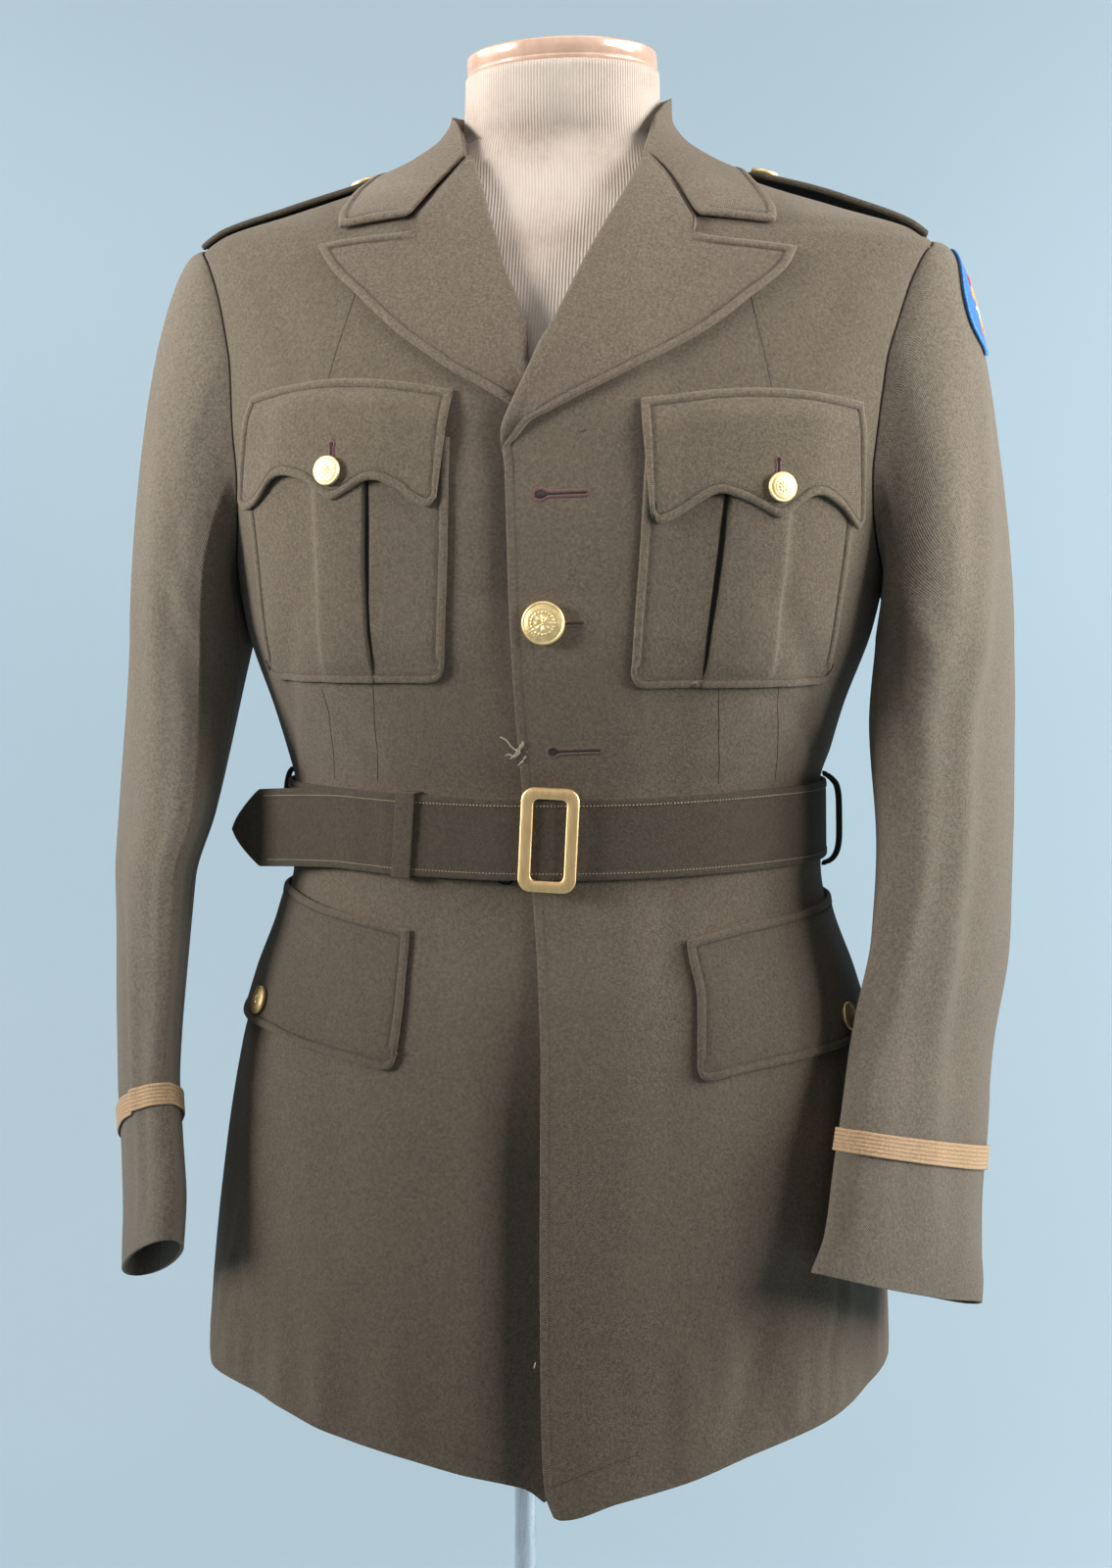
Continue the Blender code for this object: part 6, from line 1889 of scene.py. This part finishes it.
def tube(path, radius, sides):
    """A round wire along a path, closed at both ends; radius may be one value for each place."""
    path = np.array(path, dtype=float)
    ahead = unit(np.gradient(path, axis=0))
    side = np.cross(ahead[0], [0.31, 0.57, 0.76])
    angle = ring_angles(sides)[:, None]
    rings = []
    for place, way, size in zip(path, ahead, np.broadcast_to(radius, len(path))):
        side = unit(side - way * side.dot(way))
        rings.append(place + size * (side * np.cos(angle) + np.cross(way, side) * np.sin(angle)))
    return np.concatenate(rings), ring_faces(len(path), sides)


def side_loop(side):
    """A thread bar: a thick cord of buttonhole stitches that stands off the coat round the belt."""
    name = SIDE_NAMES[side]
    share = np.linspace(0.99, -0.99, 241)
    arch = np.sqrt(np.maximum(1 - (share / 0.93) ** 4, 0))
    height = SIDE_LOOP_LEVEL + SIDE_LOOP_HALF[side] * share
    out = mix(LAY_GAP + 1.2, SIDE_LOOP_STAND[side] - SIDE_LOOP_WALL / 2, arch)
    path = body_point(np.full(share.shape, float(SIDE_LOOP_TURN[side])), height, out)
    radius = mix(1.4, SIDE_LOOP_WALL / 2 + 0.85, arch) * (1 + 0.09 * np.sin(np.arange(241) * 1.4))
    cord(f"coat_belt_loop_{name}", path, radius, LOOP_THREAD, 12, [f"belt_loop_{name}"])


# ---------------------------------------------------------------- small sewn details

STITCHES = {"edge": [], "belt": []}
# One stitch: eight corners as ahead, aside and up, and the faces over them.
STITCH_CORNERS = ((-1, 0, -0.05), (-0.6, 1, 0.02), (-0.6, 0, 0.15), (-0.6, -1, 0.02), (0.6, 1, 0.02),
                  (0.6, 0, 0.15), (0.6, -1, 0.02), (1, 0, -0.05))
STITCH_FACES = ((0, 2, 1), (0, 3, 2), (1, 2, 5, 4), (2, 3, 6, 5), (4, 5, 7), (5, 6, 7))


def stitch_row(line, normals, pitch=1.25, kind="edge"):
    """Places for short stitches along a line over the cloth."""
    if len(line) < 3:
        return
    lengths = lengths_of(line)
    at = np.arange(pitch / 2, lengths[-1], pitch)
    normal = unit(line_at(at, lengths, normals))
    ahead = unit(line_at(at + 0.6, lengths, line) - line_at(at - 0.6, lengths, line))
    STITCHES[kind].append((line_at(at, lengths, line), ahead, np.cross(ahead, normal), normal))


def sew():
    """All stitches of a kind in one mesh: ticks across the edges, dots along the belt."""
    for kind, reach, half, turned, slot, finish in (("edge", 0.95, 0.27, True, "coat_wool", STITCH),
                                                    ("belt", 0.62, 0.36, False, "belt_wool", BELT_STITCH)):
        ahead_by, aside_by, up_by = (np.array(STITCH_CORNERS) * (reach, half, 1)).T[..., None]
        vertices = []
        for centre, ahead, across, normal in STITCHES[kind]:
            along, aside = (across, -ahead) if turned else (ahead, across)
            vertices.append((centre[:, None] + along[:, None] * ahead_by + aside[:, None] * aside_by
                             + normal[:, None] * up_by).reshape(-1, 3))
        vertices = np.concatenate(vertices)
        faces = [[first + k for k in face] for first in range(0, len(vertices), 8) for face in STITCH_FACES]
        mesh_object(f"{kind}_stitches", placed(vertices), faces, finish)


def cord(name, path, radius, finish, sides=6, replaces=()):
    vertices, faces = tube(path, radius, sides)
    mesh_object(name, placed(vertices), faces, finish, replaces=replaces)


# Seams that show on the fronts, each a side and places (along, height).
SEAM_LINES = {
    "dart_right": (RIGHT, ((-100, 1461), (-107, 1435), (-118, 1393), (-119.5, 1386))),
    "dart_left": (LEFT, ((102, 1456), (108, 1432), (121, 1386), (122, 1381))),
    "waist_right_outer": (RIGHT, ((-125.5, 1226), (-123, 1214), (-122.5, 1196), (-124, 1176))),
    "waist_right_inner": (RIGHT, ((-90.5, 1230), (-91, 1205), (-91.5, 1176))),
    "waist_left_inner": (LEFT, ((97, 1229), (98, 1202), (99, 1176))),
    "waist_left_outer": (LEFT, ((134, 1228), (136, 1202), (138, 1176))),
    "hem_left": (LEFT, ((14, 812), (30, 819), (46, 824.5), (60, 829))),
    "hem_right": (RIGHT, ((-14, 823.5), (-32, 828), (-50, 833), (-64, 837))),
}


def seam_lines():
    for name, (side, places) in SEAM_LINES.items():
        path = spline(places, np.linspace(0, 1, 60))
        cord(f"seam_{name}", laid_on_front(side, path[:, 0], path[:, 1], 0.02), 0.2, SEAM_SHADE)


def keyhole(name, place, length, eye, finish, width=1.9):
    """A worked buttonhole: a slit with an eye at its start, ringed with radial stitches."""
    run = np.linspace(0, 1, 44)
    turn = np.linspace(0, 1, 13)[1:-1] * math.pi
    along = np.concatenate([run * length, np.full(11, length), run[::-1] * length, np.zeros(11)])
    away_u = np.concatenate([0 * run, np.sin(turn), 0 * run, -np.sin(turn)])
    away_v = np.concatenate([1 + 0 * run, np.cos(turn), -1 + 0 * run, -np.cos(turn)])
    half = 0.4 + (eye - 0.4) * smooth(2.0 * eye, 0.2 * eye, along)
    purl = 0.12 * np.cos(np.arange(len(along)) * 2.2)

    def ring(reach, out):
        return place(along + away_u * reach, away_v * reach, out + 0 * along)

    section = ((0, -0.7), (0, 0.15), (0.15, 0.42), (0.45, 0.5), (0.8, 0.28), (1.0, 0.0), (1.0, -0.7))
    rings = [ring(half + share * width, out + (purl if out > 0.1 else 0)) for share, out in section]
    faces = ring_faces(len(section), len(along), joined=True)
    mesh_object(f"{name}_stitching", placed(np.concatenate(rings)), faces, finish)
    # A dark sheet fills the slit: painted shade.
    slit = np.concatenate([ring(half + 0.1, 0.12), ring(half + 0.1, -0.6)])
    faces = ring_faces(2, len(along), flip=True)
    mesh_object(f"{name}_slit", placed(slit), faces, SLIT_PAINTED_SHADE)


FRONT_HOLES = (
    # name, x, height, length, eye, finish
    ("top", 0.5, 1328, 24, 2.1, HOLE_THREAD),
    ("middle", 2, 1261, 21.5, 1.6, HOLE_WORN),
    ("low", 8, 1195, 24.5, 2.0, HOLE_WORN),
)


def buttonholes():
    for name, at, height, length, eye, finish in FRONT_HOLES:
        def level(u, v, out, at=at, height=height):
            return laid_on_front(LEFT, at + u, height + v + 0.035 * u, out)
        keyhole(f"buttonhole_{name}", level, length, eye, finish)
    out = POCKET_GAP + POCKET_WALL + LAY_GAP + FLAP_WALL + PLEAT_RISE + 0.4
    for side, (along, height) in UPPER_BUTTONS.items():
        def upright(u, v, lift, side=side, along=along, height=height):
            return laid_on_front(side, side * (along - 1.5) + v, height + 14.0 - u, out + lift)
        keyhole(f"buttonhole_flap_{SIDE_NAMES[side]}", upright, 14, 0.9, HOLE_THREAD, 1.3)


# The frayed tuft's strands: distances along, heights, distances out, and the strand's radius.
TUFT_STRANDS = (
    ((-6, -8, -10, -12, -16, -19), (1200, 1197, 1195, 1197, 1201, 1203), (1, 2.4, 3, 3.2, 3, 2.2), 0.55),
    ((-6, -9, -12, -15, -17), (1199, 1195, 1192.5, 1194, 1193), (1, 2.6, 3.6, 3.4, 2.6), 0.6),
    ((-6, -8, -11, -14), (1202, 1198, 1194, 1191.5), (1, 3, 3.8, 3.2), 0.6),
    ((-5, -6, -8, -10), (1198, 1193, 1190, 1188), (1, 2.6, 3, 2.2), 0.5),
    ((-7, -7.5, -10, -13), (1203, 1200, 1197, 1192), (1.2, 3.2, 4, 3.6), 0.5),
)
# A knot of thread: distance along, height, distance out.
KNOT = ((57, 1322, 4), (58.5, 1319, 4.6), (60.5, 1320.5, 4.6), (59.5, 1323.5, 5.2), (57.5, 1321, 5.4),
        (58.0, 1317, 5.0), (60, 1315, 4.0))
FLECKS = (
    # name, side, along, height, out, tilt, finish
    ("pale", LEFT, 7.5, 876, 0.6, 12, TUFT),
    ("red", LEFT, 22, 1361, 0.3, 70, HOLE_THREAD),
    ("green", RIGHT, -57, 1330, 0.3, 20, KNOT_GREEN),
)


def loose_threads():
    """The odd threads that a worn coat carries: a frayed tuft, a knot and flecks."""
    share = np.linspace(0, 1, 26)
    for number, (*rows, radius) in enumerate(TUFT_STRANDS):
        along, height, out = [np.interp(share, np.linspace(0, 1, len(row)), row) for row in rows]
        wave = 0.35 * np.sin(share * (17 + 3 * number) + number)
        points = laid_on_front(RIGHT, along + wave, height + 0.6 * wave, out + 0.4 + wave)
        cord(f"tuft_strand_{number}", points, radius * (1.1 - 0.5 * share), TUFT)
    knot = laid_on_front(LEFT, *np.array(KNOT, dtype=float).T)
    cord("knot_green", spline(knot, np.linspace(0, 1, 40)), 0.6, KNOT_GREEN)
    for name, side, along, height, out, tilt, finish in FLECKS:
        c, s = math.cos(math.radians(tilt)), math.sin(math.radians(tilt))
        run = np.linspace(-1.6, 1.6, 9)
        path = laid_on_front(side, along + run * s, height + run * c, out + 0 * run)
        cord(f"fleck_{name}", path, 0.3, finish)


HOOK_PLACES = ((-23, 1129, 0.6), (-21.5, 1126, 1.3), (-19, 1123.8, 1.5), (-16, 1123.2, 1.5),
               (-13.5, 1124.2, 1.3), (-11.5, 1126, 0.9))


def hook():
    """The wire hook under the belt, on the coat's right front."""
    path = spline(HOOK_PLACES, np.linspace(0, 1, 36))
    cord("front_hook_wire", laid_on_front(RIGHT, *path.T), 0.55, BLACK_WIRE, 8)


# ---------------------------------------------------------------- dress form and stand

def dress_form():
    clearance, neck = Track(FORM_CLEARANCE), Track(FORM_NECK)
    turns = np.linspace(0, 360, 241)[:-1] + 180
    cosine, sine = direction(turns)
    rings = []
    heights = np.concatenate([[905, 907, 915, 925], np.linspace(940, 1340, 18), np.linspace(1355, 1521, 34)])
    for height in heights:
        level = np.full(turns.shape, height)
        points = body_point(turns, level, -clearance.one(level))
        if height <= 915:
            points[:, 2] = height
        rings.append(points)
    for height in np.linspace(1531, 1569, 12):
        half_width, front, back = neck(height)
        x = half_width * sine
        lean = NECK_TILT * smooth(1535, 1560, height)
        rings.append(np.stack([x, -np.where(cosine > 0, front, back) * cosine, height + lean * x], -1))
    points = np.array(rings)
    uv = grid_uv(points, True)
    uv[..., 0] -= uv[:, len(turns) // 2, 0][:, None]
    faces = ring_faces(*points.shape[:2])
    mesh_object("form_knit_body", placed(points.reshape(-1, 3)), faces, KNIT,
                uv=uv.reshape(-1, 2), replaces=["form_torso"])


def neck_cap():
    soft, groove = 1.6, CAP_RADIUS - 0.35
    corner = CAP_RADIUS - soft
    profile = [(0.02, CAP_HEIGHT), (corner - 2, CAP_HEIGHT)]
    profile += arc(corner, CAP_HEIGHT - soft, soft, 90, 0, 7)
    profile += [(CAP_RADIUS, 3.2), (groove, 2.9), (groove, 2.5), (CAP_RADIUS, 2.2)]
    profile += arc(corner, soft, soft, 0, -90, 5) + [(0.02, 0)]
    seat = Matrix.Translation(Vector(placed((0, 0, FORM_NECK[-1][0] + SEAM_GAP))))
    tilt = Matrix.Rotation(-math.atan(NECK_TILT), 4, "Y")
    lathe("neck_cap_turned", profile, 128, CAP, seat @ tilt, ["neck_cap"])


def soft_profile(radius, height, soft, bore=0.02):
    corner = arc(radius - soft, height - soft, soft, 75, 0, 6)
    return [(bore, height), (radius - soft, height)] + corner + [(radius, 0), (bore, 0)]


def stand():
    pole_foot = FOOT_HEIGHT + SEAM_GAP
    flange_foot = FORM_CLEARANCE[0][0] - SEAM_GAP - FLANGE_HEIGHT
    bore = POLE_RADIUS + SEAM_GAP
    for name, foot, steps, profile in (
            ("foot", 0, 144, soft_profile(FOOT_RADIUS, FOOT_HEIGHT, 2.0)),
            ("socket", pole_foot, 64, soft_profile(SOCKET_RADIUS, SOCKET_HEIGHT, 2.0, bore)),
            ("pole", pole_foot, 48, soft_profile(POLE_RADIUS, flange_foot - SEAM_GAP - pole_foot, 0.4)),
            ("flange", flange_foot, 64, soft_profile(FLANGE_RADIUS, FLANGE_HEIGHT, 1.0))):
        lathe(f"stand_{name}_turned", profile, steps, STEEL,
              Matrix.Translation((0, 0, foot * MM)), [f"stand_{name}"])


# ---------------------------------------------------------------- stage, lights and camera

def backdrop():
    """A pale floor that curves up into a plain wall."""
    curve = np.linspace(0, math.pi / 2, 14)
    profile = [(1.6 + 1.2 * math.sin(a), 1.2 - 1.2 * math.cos(a)) for a in curve]
    profile = [(-5.0, 0.0)] + profile + [(2.8, 5.0)]
    vertices = [(x, y, z - 0.0005) for y, z in profile for x in (-5.0, 5.0)]
    faces = [(2 * i, 2 * i + 1, 2 * i + 3, 2 * i + 2) for i in range(len(profile) - 1)]
    mesh = bpy.data.meshes.new("backdrop")
    mesh.from_pydata(vertices, [], faces)
    mesh.shade_smooth()
    mesh.materials.append(BACKDROP)
    added("backdrop", mesh)


# name: place, aim, size, power, spread in degrees
LAMPS = {
    "key_left": ((-2.35, -1.1, 2.0), (0.0, 0, 1.75), (0.8, 1.0), 15.5, 60),
    "key_right": ((2.4, -1.0, 2.0), (0.04, 0, 1.75), (0.8, 1.0), 8.0, 60),
    "front_card": ((0.0, -3.6, 2.4), (0.02, 0, 1.2), (3.4, 1.8), 14, 180),
    "rim_left": ((-2.5, -0.05, 2.0), (0.02, 0, 1.15), (0.9, 1.6), 14, 180),
    "rim_right": ((2.5, -0.05, 2.0), (0.02, 0, 1.15), (0.9, 1.6), 80, 180),
    "top": ((0.05, -0.25, 2.35), (0.02, 0, 1.25), (1.0, 0.3), 5, 180),
    "wall_left": ((-2.6, 0.9, 2.4), (0, 2.6, 1.3), (1.2, 1.2), 30, 180),
    "wall_right": ((2.6, 0.9, 2.4), (0, 2.6, 1.3), (1.2, 1.2), 30, 180),
}
WORLD_STRENGTH = 0.03
# The photo's height and focal length in pixels, then the view's turn, dip, distance and height, and
# how far its centre line passes from the coat's middle, in pixels.
PHOTO_HEIGHT, PHOTO_FOCUS = 1600, 2450
VIEW_TURN, VIEW_DIP = math.radians(5), math.radians(4.2)
VIEW_DISTANCE, VIEW_HEIGHT, VIEW_SHIFT = 1.39, 1.27, 6.5
SENSOR_HEIGHT = 36


def lights():
    for name, (place, aim, size, power, spread) in LAMPS.items():
        light = bpy.data.lights.new(name, "AREA")
        light.shape = "RECTANGLE"
        light.size, light.size_y = size
        light.energy = power
        light.spread = math.radians(spread)
        thing = added(name, light)
        thing.location = place
        thing.rotation_euler = (Vector(aim) - Vector(place)).to_track_quat("-Z", "Y").to_euler()
    world = bpy.data.worlds.new("studio")
    world.use_nodes = True
    colour, strength = world.node_tree.nodes["Background"].inputs[:2]
    colour.default_value, strength.default_value = (1.0, 0.98, 0.95, 1), WORLD_STRENGTH
    bpy.context.scene.world = world


def camera():
    yaw = VIEW_TURN + math.atan(VIEW_SHIFT / PHOTO_FOCUS)
    ahead = Vector((-math.sin(yaw), math.cos(yaw), 0))
    forward = ahead * math.cos(VIEW_DIP) - Vector((0, 0, math.sin(VIEW_DIP)))
    right = ahead.cross(Vector((0, 0, 1)))
    place = Vector((BODY_X * MM + VIEW_DISTANCE * math.sin(VIEW_TURN), -VIEW_DISTANCE * math.cos(VIEW_TURN),
                    VIEW_HEIGHT))
    data = bpy.data.cameras.new("photo_view")
    data.sensor_fit = "VERTICAL"
    data.sensor_height = SENSOR_HEIGHT
    data.lens = PHOTO_FOCUS * SENSOR_HEIGHT / PHOTO_HEIGHT
    thing = added("photo_view", data)
    matrix = Matrix((right, right.cross(forward), -forward)).transposed().to_4x4()
    thing.matrix_world = Matrix.Translation(place) @ matrix
    bpy.context.scene.camera = thing


def main():
    for side in (LEFT, RIGHT):
        for make in (front_panel, back_panel, sleeve, cuff_braid, lapel, upper_pocket, upper_flap, lower_flap,
                     shoulder_loop, side_loop):
            make(side)
    shoulder_patch(LEFT)
    for make in (collar, buttons, belt, keeper, buckle, buttonholes, seam_lines, loose_threads, hook, sew,
                 dress_form, neck_cap, stand, backdrop, lights, camera):
        make()
    bpy.context.scene.view_settings.view_transform = "Standard"


main()
triangles = 0
for piece in bpy.data.objects:
    if piece.type == "MESH" and not piece.name.startswith("backdrop"):
        piece.data.calc_loop_triangles()
        triangles += len(piece.data.loop_triangles)
print("triangles in all", triangles)
for row in SHEETS:
    print("sheet", *row)
